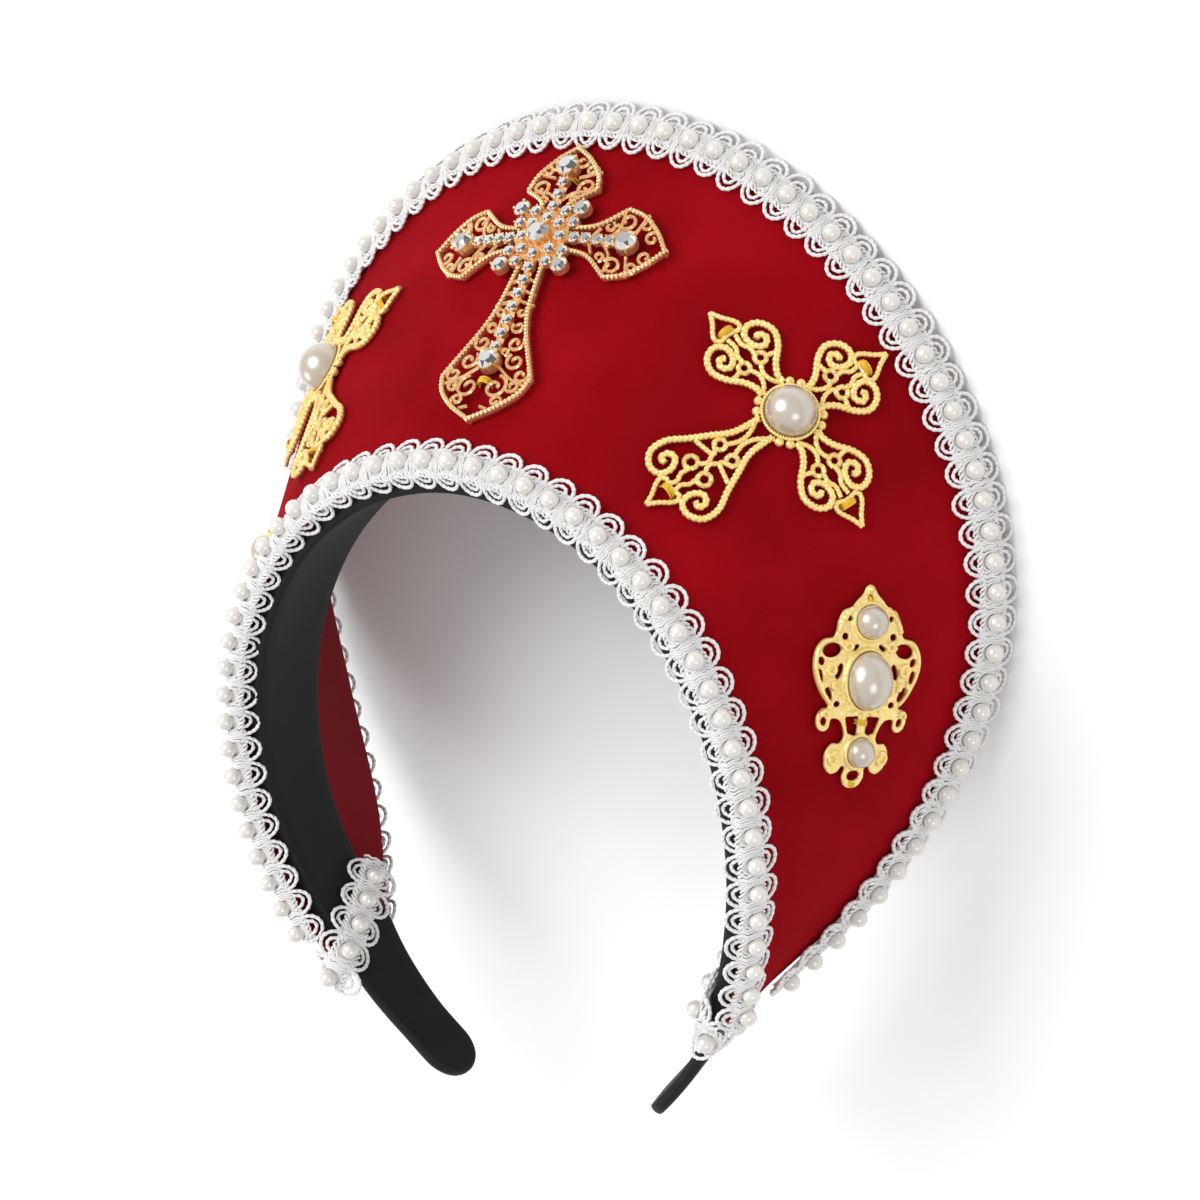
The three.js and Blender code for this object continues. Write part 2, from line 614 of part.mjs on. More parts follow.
// The centre cross: four flared arms with pointed heads, pierced beside a row of stones.
// Arms go round from the right: right, top, left, long.
function centreCross() {
  const sizes = [
    { length: CROSS_SIDE_ARM, half: CROSS_ARM_HALF, stoneAt: CROSS_SIDE_STONE },
    { length: CROSS_TOP_ARM, half: CROSS_ARM_HALF, stoneAt: CROSS_TOP_STONE },
    { length: CROSS_SIDE_ARM, half: CROSS_ARM_HALF, stoneAt: CROSS_SIDE_STONE },
    { length: CROSS_LONG_ARM, half: CROSS_LONG_HALF, stoneAt: CROSS_LONG_STONE },
  ];
  const arms = sizes.map(({ length, half }) => {
    const corner = length - CROSS_HEAD;
    const neck = CROSS_HUB + 1;
    return [
      [neck, CROSS_NECK],
      [(neck + corner) / 2, CROSS_NECK + 0.22 * (half - CROSS_NECK)],
      [corner, half],
      [corner + 0.35 * CROSS_HEAD, 0.86 * half],
      [corner + 0.7 * CROSS_HEAD, 0.5 * half],
      [length, 0],
    ];
  });
  const holes = [];
  const stones = [];
  const base = CROSS_WALL;
  sizes.forEach(({ length, half, stoneAt }, quarter) => {
    const corner = length - CROSS_HEAD;
    for (const side of [-1, 1]) {
      holes.push({ ...onArm(quarter, corner - 0.04 * CROSS_HEAD, side * 0.6 * half), radius: 0.17 * half });
      holes.push({ ...onArm(quarter, corner + 0.4 * CROSS_HEAD, side * 0.54 * half), radius: 0.15 * half });
    }
    holes.push({ ...onArm(quarter, corner + 0.78 * CROSS_HEAD, 0), radius: 0.13 * half });
    const big = onArm(quarter, stoneAt, 0);
    stones.push(stone(big.x, big.y, ARM_STONE_RADIUS, base));
    const rowFrom = CROSS_HUB + 1.8 * CHIP_PITCH;
    const rowTo = stoneAt - ARM_STONE_RADIUS - CHIP_RADIUS;
    const steps = Math.max(1, Math.round((rowTo - rowFrom) / CHIP_PITCH));
    for (let i = 0; i <= steps; i += 1) {
      const small = onArm(quarter, THREE.MathUtils.lerp(rowFrom, rowTo, i / steps), 0);
      stones.push(chipStone(small.x, small.y, CHIP_RADIUS, base));
    }
    const cornerStone = onArm(quarter, CROSS_HUB * 1.18, CROSS_HUB * 1.18);
    stones.push(stone(cornerStone.x, cornerStone.y, CORNER_STONE_RADIUS, base));
  });
  stones.push(stone(0, 0, CENTRE_STONE_RADIUS, base));
  const hubRadius = CROSS_HUB + CROSS_HUB_EDGE;
  const hub = new THREE.CylinderGeometry(hubRadius, hubRadius + CROSS_HUB_FLARE, CROSS_WALL, HUB_SIDES);
  hub.rotateX(Math.PI / 2).translate(0, 0, CROSS_WALL / 2 + CROSS_HUB_RISE);
  const plate = piercedPlate(crossOutline(arms, CROSS_HUB * 1.85), holes, CROSS_WALL);
  return joined([plate, hub, ...stones]);
}

// A pearl cross: filigree arms that end in two lobes and an arrow tip. Its outline is read
// along each arm from its neck, as shares of the head's length and of the lobes' half width.
const FLEUR_HEAD_OUTLINE = [
  { along: 0.18, half: 0.78 },
  { along: 0.38, half: 1.0 },
  { along: 0.55, half: 0.9 },
  { along: 0.64, half: 0.42 },
  { along: 0.84, half: 0.34 },
];

function pearlCross() {
  const sizes = [
    { length: FLEUR_SIDE_ARM, half: FLEUR_LOBE, head: FLEUR_HEAD, neck: FLEUR_NECK },
    { length: FLEUR_TOP_ARM, half: FLEUR_LOBE, head: FLEUR_HEAD, neck: FLEUR_NECK },
    { length: FLEUR_SIDE_ARM, half: FLEUR_LOBE, head: FLEUR_HEAD, neck: FLEUR_NECK },
    { length: FLEUR_LONG_ARM, half: FLEUR_LONG_LOBE, head: FLEUR_LONG_HEAD, neck: FLEUR_LONG_NECK },
  ];
  const arms = sizes.map(({ length, half, head, neck }) => [
    [0.9 * FLEUR_HUB, 1.15 * FLEUR_NECK],
    [length - head, neck],
    ...FLEUR_HEAD_OUTLINE.map((row) => [length - head * (1 - row.along), half * row.half]),
    [length, 0],
  ]);
  const holes = [];
  sizes.forEach(({ length, half, head }, quarter) => {
    const start = length - head;
    for (const side of [-1, 1]) {
      holes.push({ ...onArm(quarter, start + 0.38 * head, side * 0.6 * half), radius: 0.24 * half });
    }
    holes.push({ ...onArm(quarter, start + 0.5 * head, 0), radius: 0.19 * half });
  });
  const plate = piercedPlate(crossOutline(arms, 1.14 * FLEUR_HUB), holes, FILIGREE_WALL);
  return joined([plate]);
}

// Half of the ear drop's outline from its foot to its finial: b is a share of the length on
// its own side of the oval pearl, half and radius are shares of DROP_HALF
const DROP_OUTLINE = [
  { b: -1.0, half: 0.0 },
  { b: -0.97, half: 0.13 },
  { b: -0.83, half: 0.18 },
  { b: -0.8, half: 0.45 },
  { b: -0.68, half: 0.58 },
  { b: -0.56, half: 0.42 },
  { b: -0.48, half: 0.3 },
  { b: -0.36, half: 0.32 },
  { b: -0.44, half: 0.68 },
  { b: -0.4, half: 0.86 },
  { b: -0.3, half: 0.86 },
  { b: -0.23, half: 0.68 },
  { b: -0.1, half: 0.88 },
  { b: 0.12, half: 1.0 },
  { b: 0.34, half: 0.9 },
  { b: 0.46, half: 0.6 },
  { b: 0.56, half: 0.48 },
  { b: 0.72, half: 0.4 },
  { b: 0.86, half: 0.18 },
  { b: 1.0, half: 0.0 },
];
const DROP_HOLES = [
  { b: 0.3, half: 0.66, radius: 0.13 },
  { b: 0.03, half: 0.8, radius: 0.11 },
  { b: -0.12, half: 0.6, radius: 0.09 },
  { b: 0.46, half: 0.38, radius: 0.06 },
  { b: -0.36, half: 0.74, radius: 0.06 },
  { b: -0.37, half: 0.16, radius: 0.08 },
];

function dropReach(b) {
  return b * (b < 0 ? DROP_FOOT : DROP_TOP);
}

function earDrop() {
  const right = DROP_OUTLINE.map(({ b, half }) => [half * DROP_HALF, dropReach(b)]);
  const left = right.slice(1, -1).reverse().map(([x, y]) => [-x, y]);
  const holes = [-1, 1].flatMap((side) => DROP_HOLES.map(({ b, half, radius }) => (
    { x: side * half * DROP_HALF, y: dropReach(b), radius: radius * DROP_HALF })));
  return joined([piercedPlate([...right, ...left], holes, FILIGREE_WALL)]);
}

// Where each brooch is pinned: u and v on the crescent, and its turn from the crescent's rays
const CENTRE_PLACE = { u: -0.008, v: 0.65, turn: THREE.MathUtils.degToRad(3.5) };
const FLEUR_PLACE = { u: 0.325, v: 0.6, turn: THREE.MathUtils.degToRad(-14.5) };
const DROP_PLACE = { u: 0.593, v: 0.505, turn: THREE.MathUtils.degToRad(60) };
const DROP_PEARLS = [
  { name: 'ear_top_pearl', y: DROP_TOP_REACH, radius: DROP_TOP_PEARL, stretch: 1 },
  { name: 'ear_oval_pearl', y: 0, radius: DROP_OVAL_HALF, stretch: DROP_OVAL_LENGTH / DROP_OVAL_HALF },
  { name: 'ear_foot_pearl', y: -DROP_FOOT_REACH, radius: DROP_FOOT_PEARL, stretch: 1 },
];

const velvet = new THREE.MeshStandardMaterial({ color: 0x8f0f1c, roughness: 0.95 });
const lining = new THREE.MeshStandardMaterial({ color: 0x7d1420, roughness: 0.95 });
const satin = new THREE.MeshStandardMaterial({ color: 0x1d1f22, roughness: 0.6 });
const pearl = new THREE.MeshStandardMaterial({ color: 0xf1ece2, roughness: 0.25 });
const gold = new THREE.MeshStandardMaterial({ color: 0xe3b74a, roughness: 0.35, metalness: 1 });
const roseGold = new THREE.MeshStandardMaterial({ color: 0xd9a071, roughness: 0.25, metalness: 1 });

const hood = new THREE.Group();

function add(name, geometry, material) {
  const mesh = new THREE.Mesh(geometry, material.clone());
  mesh.name = name;
  hood.add(mesh);
}

add('headband', headBand(), satin);
add('velvet_panel', crescentLayer(0, VELVET_WALL), velvet);
add('back_lining', crescentLayer(VELVET_WALL + SEAM_GAP, coverWall), lining);
add('inner_pearl_trim', seamBraid(0, HOOP_PHASE), pearl);
add('outer_pearl_trim', seamBraid(1, RIM_PHASE), pearl);

const castTop = (wall) => CAST_LIFT + wall + STONE_SEAT;
const laid = (place) => {
  const bend = laidOn(place);
  return (a, b, height) => bend(a, b, CAST_LIFT + height);
};
add('centre_cross', bent(centreCross(), laid(CENTRE_PLACE), 1), roseGold);
for (const [name, side] of [['left', 1], ['right', -1]]) {
  add(`trim_tail_${name}`, braidTail(side), pearl);
  const crossPearl = joined([halfPearl(0, 0, FLEUR_PEARL, castTop(FILIGREE_WALL))]);
  add(`pearl_cross_${name}`, bent(pearlCross(), laid(FLEUR_PLACE), side), gold);
  add(`cross_pearl_${name}`, bent(crossPearl, laidOn(FLEUR_PLACE), side), pearl);
  add(`ear_drop_${name}`, bent(earDrop(), laid(DROP_PLACE), side), gold);
  for (const { name: bead, y, radius, stretch } of DROP_PEARLS) {
    const half = joined([halfPearl(0, y, radius, castTop(FILIGREE_WALL), stretch)]);
    add(`${bead}_${name}`, bent(half, laidOn(DROP_PLACE), side), pearl);
  }
}

// Stand the whole hood on the plane z = 0, its middle over the origin
hood.updateMatrixWorld(true);
const bounds = new THREE.Box3().setFromObject(hood, true);
const middle = bounds.getCenter(new THREE.Vector3());
hood.position.set(-middle.x, -middle.y, -bounds.min.z);

export default hood;
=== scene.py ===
# %% [markdown]
# A French hood is a crescent of stiffened velvet that stands round the head like a halo. It
# sits on a head band, wears a braid of pearls along both edges and carries pinned brooches.
# The first cell loads its solid model, which fixes every size and place. All that follows
# dresses that model, and each visible piece hides the solid it stands for.

import math

import bpy
import numpy as np
from mathutils import Euler, Matrix, Vector


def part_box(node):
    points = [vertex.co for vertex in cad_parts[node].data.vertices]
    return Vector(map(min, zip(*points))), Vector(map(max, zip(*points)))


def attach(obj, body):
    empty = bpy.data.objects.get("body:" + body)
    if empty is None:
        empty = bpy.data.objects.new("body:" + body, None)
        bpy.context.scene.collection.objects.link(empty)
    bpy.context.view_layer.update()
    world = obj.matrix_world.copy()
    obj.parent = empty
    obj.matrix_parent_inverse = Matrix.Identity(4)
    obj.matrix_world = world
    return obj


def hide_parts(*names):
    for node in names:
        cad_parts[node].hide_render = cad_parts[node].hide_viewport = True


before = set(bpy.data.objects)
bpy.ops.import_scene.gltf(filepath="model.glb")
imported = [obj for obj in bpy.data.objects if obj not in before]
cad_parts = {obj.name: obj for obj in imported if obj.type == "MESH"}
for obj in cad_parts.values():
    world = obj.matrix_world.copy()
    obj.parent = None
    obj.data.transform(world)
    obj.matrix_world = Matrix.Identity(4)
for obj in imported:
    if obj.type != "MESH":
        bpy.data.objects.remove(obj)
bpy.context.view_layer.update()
bpy.ops.object.select_all(action="DESELECT")

# %% [markdown]
# The camera comes first, since it decides what can be seen. The hood lies on its back and the
# camera looks down at it from its left side with a long lens. It is rolled, so that the crown
# of the hood points up in the picture. A level sideways axis is found from the azimuth, and
# the roll then turns it about the line of sight.

# %% The camera
CAMERA_AIM = Vector((0.0303, 0.0121, 0.0597))
CAMERA_DISTANCE = 1.15
CAMERA_AZIMUTH = math.radians(112.77)
CAMERA_ELEVATION = math.radians(51.42)
CAMERA_ROLL = math.radians(-111.41)
CAMERA_LENS = 164.0
CAMERA_SENSOR = 36.0


def add_camera():
    bpy.ops.object.camera_add()
    camera = bpy.context.object
    camera.name = "camera"
    out = math.cos(CAMERA_ELEVATION)
    back = Vector((
        math.sin(CAMERA_AZIMUTH) * out,
        -math.cos(CAMERA_AZIMUTH) * out,
        math.sin(CAMERA_ELEVATION),
    ))
    level = Vector((math.cos(CAMERA_AZIMUTH), math.sin(CAMERA_AZIMUTH), 0.0))
    lift = back.cross(level)
    right = level * math.cos(CAMERA_ROLL) + lift * math.sin(CAMERA_ROLL)
    axes = Matrix((right, back.cross(right), back)).transposed().to_4x4()
    camera.matrix_world = Matrix.Translation(CAMERA_AIM + back * CAMERA_DISTANCE) @ axes
    camera.data.lens = CAMERA_LENS
    camera.data.sensor_width = CAMERA_SENSOR
    bpy.context.scene.camera = camera
    return camera


camera = add_camera()
print("camera stands at", tuple(round(x, 3) for x in camera.matrix_world.translation))

# %% [markdown]
# The hood is shown as in a catalogue, on a white table in soft light. A large plane is the
# table. The world gives an even white light, which pearls and metal need to reflect. One big
# lamp from the crown's side shapes the folds, and a smaller one from the camera's side puts a
# second highlight on each pearl.

# %% Table and light
FLOOR_SIZE = 6.0
WORLD_STRENGTH = 0.62
LAMPS = [
    # name, place, size, watts
    ("key_lamp", (-0.5, 0.9, 1.6), 1.6, 24.0),
    ("fill_lamp", (1.3, -0.5, 1.1), 0.9, 5.0),
    ("low_lamp", (-1.2, -0.7, 0.9), 0.7, 4.0),
]


def add_lamp(name, place, size, watts):
    bpy.ops.object.light_add(type="AREA", location=place)
    lamp = bpy.context.object
    lamp.name = name
    lamp.data.shape = "DISK"
    lamp.data.size = size
    lamp.data.energy = watts
    lamp.rotation_euler = (CAMERA_AIM - Vector(place)).to_track_quat("-Z", "Y").to_euler()


world = bpy.data.worlds.new("studio")
world.use_nodes = True
world.node_tree.nodes["Background"].inputs["Color"].default_value = (1, 1, 1, 1)
world.node_tree.nodes["Background"].inputs["Strength"].default_value = WORLD_STRENGTH
bpy.context.scene.world = world
bpy.context.scene.view_settings.view_transform = "Standard"
for lamp_row in LAMPS:
    add_lamp(*lamp_row)
bpy.ops.mesh.primitive_plane_add(size=FLOOR_SIZE)
floor = bpy.context.object
floor.name = "table"
print("lamps:", [row[0] for row in LAMPS])

# %% [markdown]
# Finishes are made of shader nodes. Writing each node by hand hides the idea, so two small
# helpers are used. A Value is one socket, and arithmetic on Values adds the Math nodes for
# it. A Finish is one material, with a single method that adds any other node.


# %% Helpers for finishes
class Value:
    """One socket of a material. Arithmetic on it adds Math nodes."""

    def __init__(self, finish, socket):
        self.finish = finish
        self.socket = socket

    def combine(self, operation, first, second):
        settings = {"operation": operation}
        return self.finish.node("ShaderNodeMath", settings, {0: first, 1: second})

    def __add__(self, other):
        return self.combine("ADD", self, other)

    def __mul__(self, other):
        return self.combine("MULTIPLY", self, other)

    __radd__ = __add__
    __rmul__ = __mul__


class Finish:
    """A material made by name, whose main shader takes the settings given."""

    def __init__(self, name, **constants):
        self.material = bpy.data.materials.new(name)
        self.material.use_nodes = True
        self.tree = self.material.node_tree
        self.shader = self.tree.nodes["Principled BSDF"]
        for key, value in constants.items():
            socket = key.replace("_", " ").title().replace("Ior", "IOR")
            self.shader.inputs[socket].default_value = value

    def feed(self, socket, value):
        if isinstance(value, Value):
            self.tree.links.new(value.socket, socket)
        else:
            socket.default_value = value

    def node(self, kind, settings=None, inputs=None, output=0):
        made = self.tree.nodes.new(kind)
        for key, value in (settings or {}).items():
            setattr(made, key, value)
        for key, value in (inputs or {}).items():
            self.feed(made.inputs[key], value)
        return Value(self, made.outputs[output])

    def millimetres(self):
        place = self.node("ShaderNodeTexCoord", output="Object")
        return self.node("ShaderNodeVectorMath", {"operation": "SCALE"}, {0: place, "Scale": 1000.0})

    def noise(self, per_mm, detail=2.0, place=None):
        inputs = {"Vector": place or self.millimetres(), "Scale": per_mm, "Detail": detail}
        return self.node("ShaderNodeTexNoise", None, inputs)

    def blend(self, share, first, second):
        inputs = {0: share, 6: (*first, 1), 7: (*second, 1)}
        return self.node("ShaderNodeMix", {"data_type": "RGBA"}, inputs, output=2)

    def spread(self, value, low, high):
        """Stretches the part of a value between low and high to run from 0 to 1"""
        inputs = {"Value": value, "From Min": low, "From Max": high}
        return self.node("ShaderNodeMapRange", None, inputs)

    def bump(self, height, depth_mm, strength=1.0):
        inputs = {"Height": height, "Distance": depth_mm / 1000.0, "Strength": strength}
        self.feed(self.shader.inputs["Normal"], self.node("ShaderNodeBump", None, inputs))

    def set(self, name, value):
        self.feed(self.shader.inputs[name], value)


# %% [markdown]
# Velvet is a cloth with upright fibres. It looks deep and dark when looked into and glows at
# its edges, so its shader gets a red sheen. Broad soft patches of colour stand for pile that
# lies one way or the other, and a fine bump stands for the fibres.


# %% Velvet and lining
def velvet_finish():
    finish = Finish(
        "crimson_velvet", roughness=0.9, sheen_weight=0.1, sheen_roughness=0.4,
        sheen_tint=(1.0, 0.04, 0.07, 1), specular_ior_level=0.03,
    )
    pile = finish.noise(2.6, 3.0)
    patches = finish.spread(finish.noise(0.035, 3.0), 0.35, 0.65)
    tone = patches * 0.65 + pile * 0.35
    finish.set("Base Color", finish.blend(tone, (0.21, 0.0018, 0.0044), (0.318, 0.003, 0.0082)))
    finish.bump(pile + finish.noise(7.0, 1.0) * 0.5, 0.16, 0.6)
    return finish.material


def lining_finish():
    finish = Finish("crimson_lining", roughness=0.8, sheen_weight=0.05, specular_ior_level=0.1)
    weave = finish.noise(5.0, 2.0)
    finish.set("Base Color", finish.blend(weave, (0.19, 0.003, 0.008), (0.28, 0.006, 0.014)))
    finish.bump(weave, 0.12, 0.7)
    return finish.material


VELVET = velvet_finish()
LINING = lining_finish()
print("cloths:", VELVET.name, LINING.name)


# %% [markdown]
# The band is wrapped in black satin. Black cloth is never quite black, and satin shows fine
# ribs across the ribbon, so the bump runs in waves along it. The braid is white rayon thread.
# Its grey patches are painted shade for threads that lie deep in crevices, spread by a noise.


# %% Satin and thread
def satin_finish():
    finish = Finish("black_satin", roughness=0.6, sheen_weight=0.03, specular_ior_level=0.2)
    along = finish.node("ShaderNodeUVMap", {"uv_map": "UVMap"})
    inputs = {"Vector": along, "Scale": 0.9, "Distortion": 0.6, "Detail": 2.0}
    ribs = finish.node("ShaderNodeTexWave", None, inputs, output=1)
    tone = finish.noise(0.12, 3.0)
    finish.set("Base Color", finish.blend(tone, (0.004, 0.0045, 0.005), (0.009, 0.010, 0.011)))
    finish.bump(ribs * 0.5 + finish.noise(4.0) * 0.5, 0.07, 0.5)
    return finish.material


def thread_finish(name, dark, bright):
    finish = Finish(name, roughness=0.5, sheen_weight=0.2, specular_ior_level=0.4)
    # The darker colour of this blend is painted shade for deep-lying threads, placed by noise.
    painted_crevice_shade = finish.noise(3.5, 3.0)
    finish.set("Base Color", finish.blend(finish.spread(painted_crevice_shade, 0.3, 0.6), dark, bright))
    finish.bump(finish.noise(9.0, 1.0), 0.06, 0.6)
    return finish.material


SATIN = satin_finish()
WHITE_THREAD = thread_finish("white_thread", (0.66, 0.66, 0.67), (0.88, 0.87, 0.86))
YELLOW_THREAD = thread_finish("yellow_thread", (0.62, 0.36, 0.01), (0.9, 0.6, 0.03))
print("threads:", SATIN.name, WHITE_THREAD.name, YELLOW_THREAD.name)


# %% [markdown]
# Imitation pearls are plastic beads with a soft nacre under a clear coat: a wide dull glow
# from the body and a small sharp highlight from the coat. The yellow brooches are plated: the
# cast drops are slightly frosted, the stamped filigree is brighter. The centre cross is
# polished rose gold.


# %% Pearl and metals
def pearl_finish(name, dark, bright, lustre):
    finish = Finish(name, roughness=0.28, metallic=lustre, coat_weight=0.9, coat_roughness=0.08)
    nacre = finish.noise(0.5, 2.0)
    finish.set("Base Color", finish.blend(nacre, dark, bright))
    return finish.material


def metal_finish(name, dark, bright, roughness, grain, metallic):
    finish = Finish(name, metallic=metallic)
    cast = finish.noise(1.4, 3.0)
    finish.set("Base Color", finish.blend(finish.spread(cast, 0.3, 0.7), dark, bright))
    finish.set("Roughness", finish.noise(0.8) * 0.2 + (roughness - 0.1))
    finish.bump(cast + finish.noise(6.0) * 0.4, grain, 0.5)
    return finish.material


PEARL = pearl_finish("pearl_nacre", (0.54, 0.47, 0.39), (0.64, 0.58, 0.5), 0.3)
SMALL_PEARL = pearl_finish("white_pearl", (0.72, 0.69, 0.64), (0.8, 0.77, 0.73), 0.15)
GOLD = metal_finish("frosted_gold", (0.92, 0.64, 0.17), (1.0, 0.84, 0.42), 0.38, 0.08, 0.55)
ROSE_GOLD = metal_finish("polished_rose_gold", (0.86, 0.5, 0.21), (1.0, 0.7, 0.4), 0.24, 0.05, 0.8)
FILIGREE = metal_finish("filigree_gold", (0.98, 0.64, 0.17), (1.0, 0.82, 0.38), 0.28, 0.04, 0.5)
print("metals:", GOLD.name, ROSE_GOLD.name, FILIGREE.name)


# %% [markdown]
# Rhinestones are glass with a mirror behind. Each facet throws back another part of the room,
# so neighbouring facets are bright, grey or dark. Real glass needs many light paths, and small
# stones turn to noise. A mirror whose colour is painted bright, grey or dark by the facet's own
# direction, a painted reflection, gives the same play at once.


# %% Rhinestones and table
def crystal_finish():
    finish = Finish("foiled_crystal", metallic=0.75, roughness=0.06, coat_weight=1.0)
    facet = finish.node("ShaderNodeNewGeometry", output="Normal")
    # Painted reflection: each facet's colour runs from dark grey to white by its own direction.
    painted_facet_reflection = finish.spread(finish.noise(2.4, 1.0, place=facet), 0.42, 0.54)
    finish.set("Base Color", finish.blend(painted_facet_reflection, (0.14, 0.145, 0.16), (1.0, 0.99, 0.97)))
    return finish.material


def table_finish():
    finish = Finish("white_table", roughness=0.7, specular_ior_level=0.2)
    tone = finish.noise(0.004)
    finish.set("Base Color", finish.blend(tone, (0.9, 0.9, 0.9), (0.93, 0.93, 0.93)))
    return finish.material


CRYSTAL = crystal_finish()
floor.data.materials.append(table_finish())
print("stones:", CRYSTAL.name)

# %% [markdown]
# Everything on the hood follows one curved surface, the velvet crescent. It is drawn as the
# pattern maker draws it: a line round the face, called the hoop here, a line round the rim,
# and straight rays of cloth between them. A table of shares, from the crown to one end, gives
# both lines, and its mirror copy gives the other half. The sizes are in millimetres, and the
# velvet's solid tells where the hoop's crown stands in the room.

# %% The crescent's two lines
MM = 0.001
HOOP_HALF = 67.4
HOOP_LENGTH = 121.0
HOOP_DROP = 17.0
RIM_HALF = 92.8
CROWN_REACH = 61.5
CROWN_RISE = 65.5
HOOP_HEM = 1.0
RIM_HEM = 2.0
BAND_END_WIDTH = 15.5
BAND_TUCK = math.radians(10)
TUCK_START = 0.8
MEET_START = 0.7

SECTIONS = np.array([
    # at, hoop out, hoop down, hoop drop, rim out, rim down, rim lift
    (0.0, 0.0, 0.0, 0.0, 0.0, 0.0, 0.0),
    (0.125, 0.294, 0.027, 0.011, 0.328, 0.032, 0.0),
    (0.25, 0.559, 0.102, 0.056, 0.615, 0.12, 0.0),
    (0.375, 0.772, 0.217, 0.113, 0.838, 0.251, 0.0),
    (0.5, 0.919, 0.362, 0.203, 0.971, 0.41, 0.0),
    (0.625, 0.991, 0.521, 0.323, 0.992, 0.583, 0.014),
    (0.75, 0.992, 0.687, 0.484, 0.898, 0.746, 0.144),
    (0.875, 0.927, 0.847, 0.704, 0.738, 0.89, 0.462),
    (1.0, 0.816, 1.0, 0.988, 0.566, 1.0, 1.0),
])
AT, HOOP_OUT, HOOP_DOWN, HOOP_FALL, RIM_OUT, RIM_DOWN, RIM_LIFT = SECTIONS.T


def unit(vectors):
    return vectors / np.linalg.norm(vectors, axis=-1, keepdims=True)


def dot(first, second):
    return np.sum(first * second, axis=-1, keepdims=True)


def ramp(value, start):
    return np.clip((value - start) / (1 - start), 0, 1) ** 2


def both_sides(half):
    return np.vstack([half[:0:-1] * (-1, 1, 1), half])


def smooth_line(knots, share):
    """Points on a smooth line through the knots, for shares of it from 0 to 1"""
    padded = np.vstack([2 * knots[0] - knots[1], knots, 2 * knots[-1] - knots[-2]])
    place = np.clip(share, 0, 1) * (len(knots) - 1)
    first = np.minimum(place.astype(int), len(knots) - 2)
    w = (place - first)[:, None]
    a, b, c, d = (padded[first + k] for k in range(4))
    return b + 0.5 * w * (c - a + w * (2 * a - 5 * b + 4 * c - d + w * (3 * b - a - 3 * c + d)))


HOOP = both_sides(np.column_stack([
    HOOP_HALF * HOOP_OUT, -HOOP_LENGTH * HOOP_DOWN, -HOOP_DROP * HOOP_FALL,
]))
HOOP_LEAN = math.atan2(HOOP_DROP, HOOP_LENGTH)
BACKWARD = np.array([0, math.sin(HOOP_LEAN), -math.cos(HOOP_LEAN)])


def hoop_at(u):
    return smooth_line(HOOP, (u + 1) / 2)


def band_axes(u):
    """Directions at a place on the band: along it, inwards, from front to back, into the head"""
    step = 2e-4
    along = hoop_at(u + step) - hoop_at(u - step)
    along = unit(along - dot(along, BACKWARD) * BACKWARD)
    inward = unit(np.cross(BACKWARD, along))
    tuck = (BAND_TUCK * ramp(np.abs(u), TUCK_START))[:, None]
    across = BACKWARD * np.cos(tuck) + inward * np.sin(tuck)
    depth = unit(np.cross(across, along))
    return along, inward, across, depth


END = np.array([1.0])
RIM_END = (hoop_at(END) + BAND_END_WIDTH * band_axes(END)[2])[0]
RIM = both_sides(np.column_stack([
    RIM_HALF * RIM_OUT + (RIM_END[0] - RIM_HALF * RIM_OUT[-1]) * ramp(AT, MEET_START),
    CROWN_REACH + (RIM_END[1] - CROWN_REACH) * RIM_DOWN,
    -CROWN_RISE + (RIM_END[2] + CROWN_RISE) * RIM_LIFT,
]))
print("hoop and rim knots:", len(HOOP), len(RIM))


# %% [markdown]
# Two numbers name a place on the crescent: u runs from one end over the crown to the other,
# and v from the hoop's pearls to the rim's pearls. The slopes along u and v give the outward
# direction of the cloth, so anything can be set at a height over the velvet.


# %% Places on the crescent
def slope_u(u, v):
    step = 1e-3
    low = np.maximum(-1, u - step)
    high = np.minimum(1, u + step)
    return (crescent(high, v) - crescent(low, v)) / (high - low)[:, None]


def slope_v(u):
    share = (u + 1) / 2
    return smooth_line(RIM, share) - smooth_line(HOOP, share)


def crescent(u, v):
    return hoop_at(u) + slope_v(u) * v[:, None]


def outward(u, v):
    return unit(np.cross(slope_u(u, v), slope_v(u)))


def over_velvet(u, v, height):
    return crescent(u, v) + outward(u, v) * np.reshape(height, (-1, 1))


def hoop_crown():
    """Where the hoop's crown stands in the room, in millimetres, from the velvet's solid"""
    low, high = (np.array(corner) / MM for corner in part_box("velvet_panel"))
    centre = np.array([0.0])
    width = np.linalg.norm(slope_v(centre))
    rim_hem = crescent(centre, np.array([1 + RIM_HEM / width]))[0]
    hoop_hem = crescent(centre, np.array([-HOOP_HEM / width]))[0]
    return np.array([(low[0] + high[0]) / 2, high[1] - rim_hem[1], high[2] - hoop_hem[2]])


CROWN = hoop_crown()


def in_room(points):
    return (points + CROWN) * MM


print("the hoop's crown stands at", CROWN.round(2), "mm")

# %% [markdown]
# A brooch is made flat and then bent to the cloth, as a jeweller bends it over a form. It
# could be projected onto the cloth from above, but that stretches its sides. So for each of
# its points the place on the crescent is found by walking from the pin in a straight line
# over the cloth, a few steps at a time. The result is a function from flat points (across,
# up, height) to points of the hood, and the braid gets functions of the same kind below.

# %% Laying a brooch on the velvet
WALK_STEPS = 6


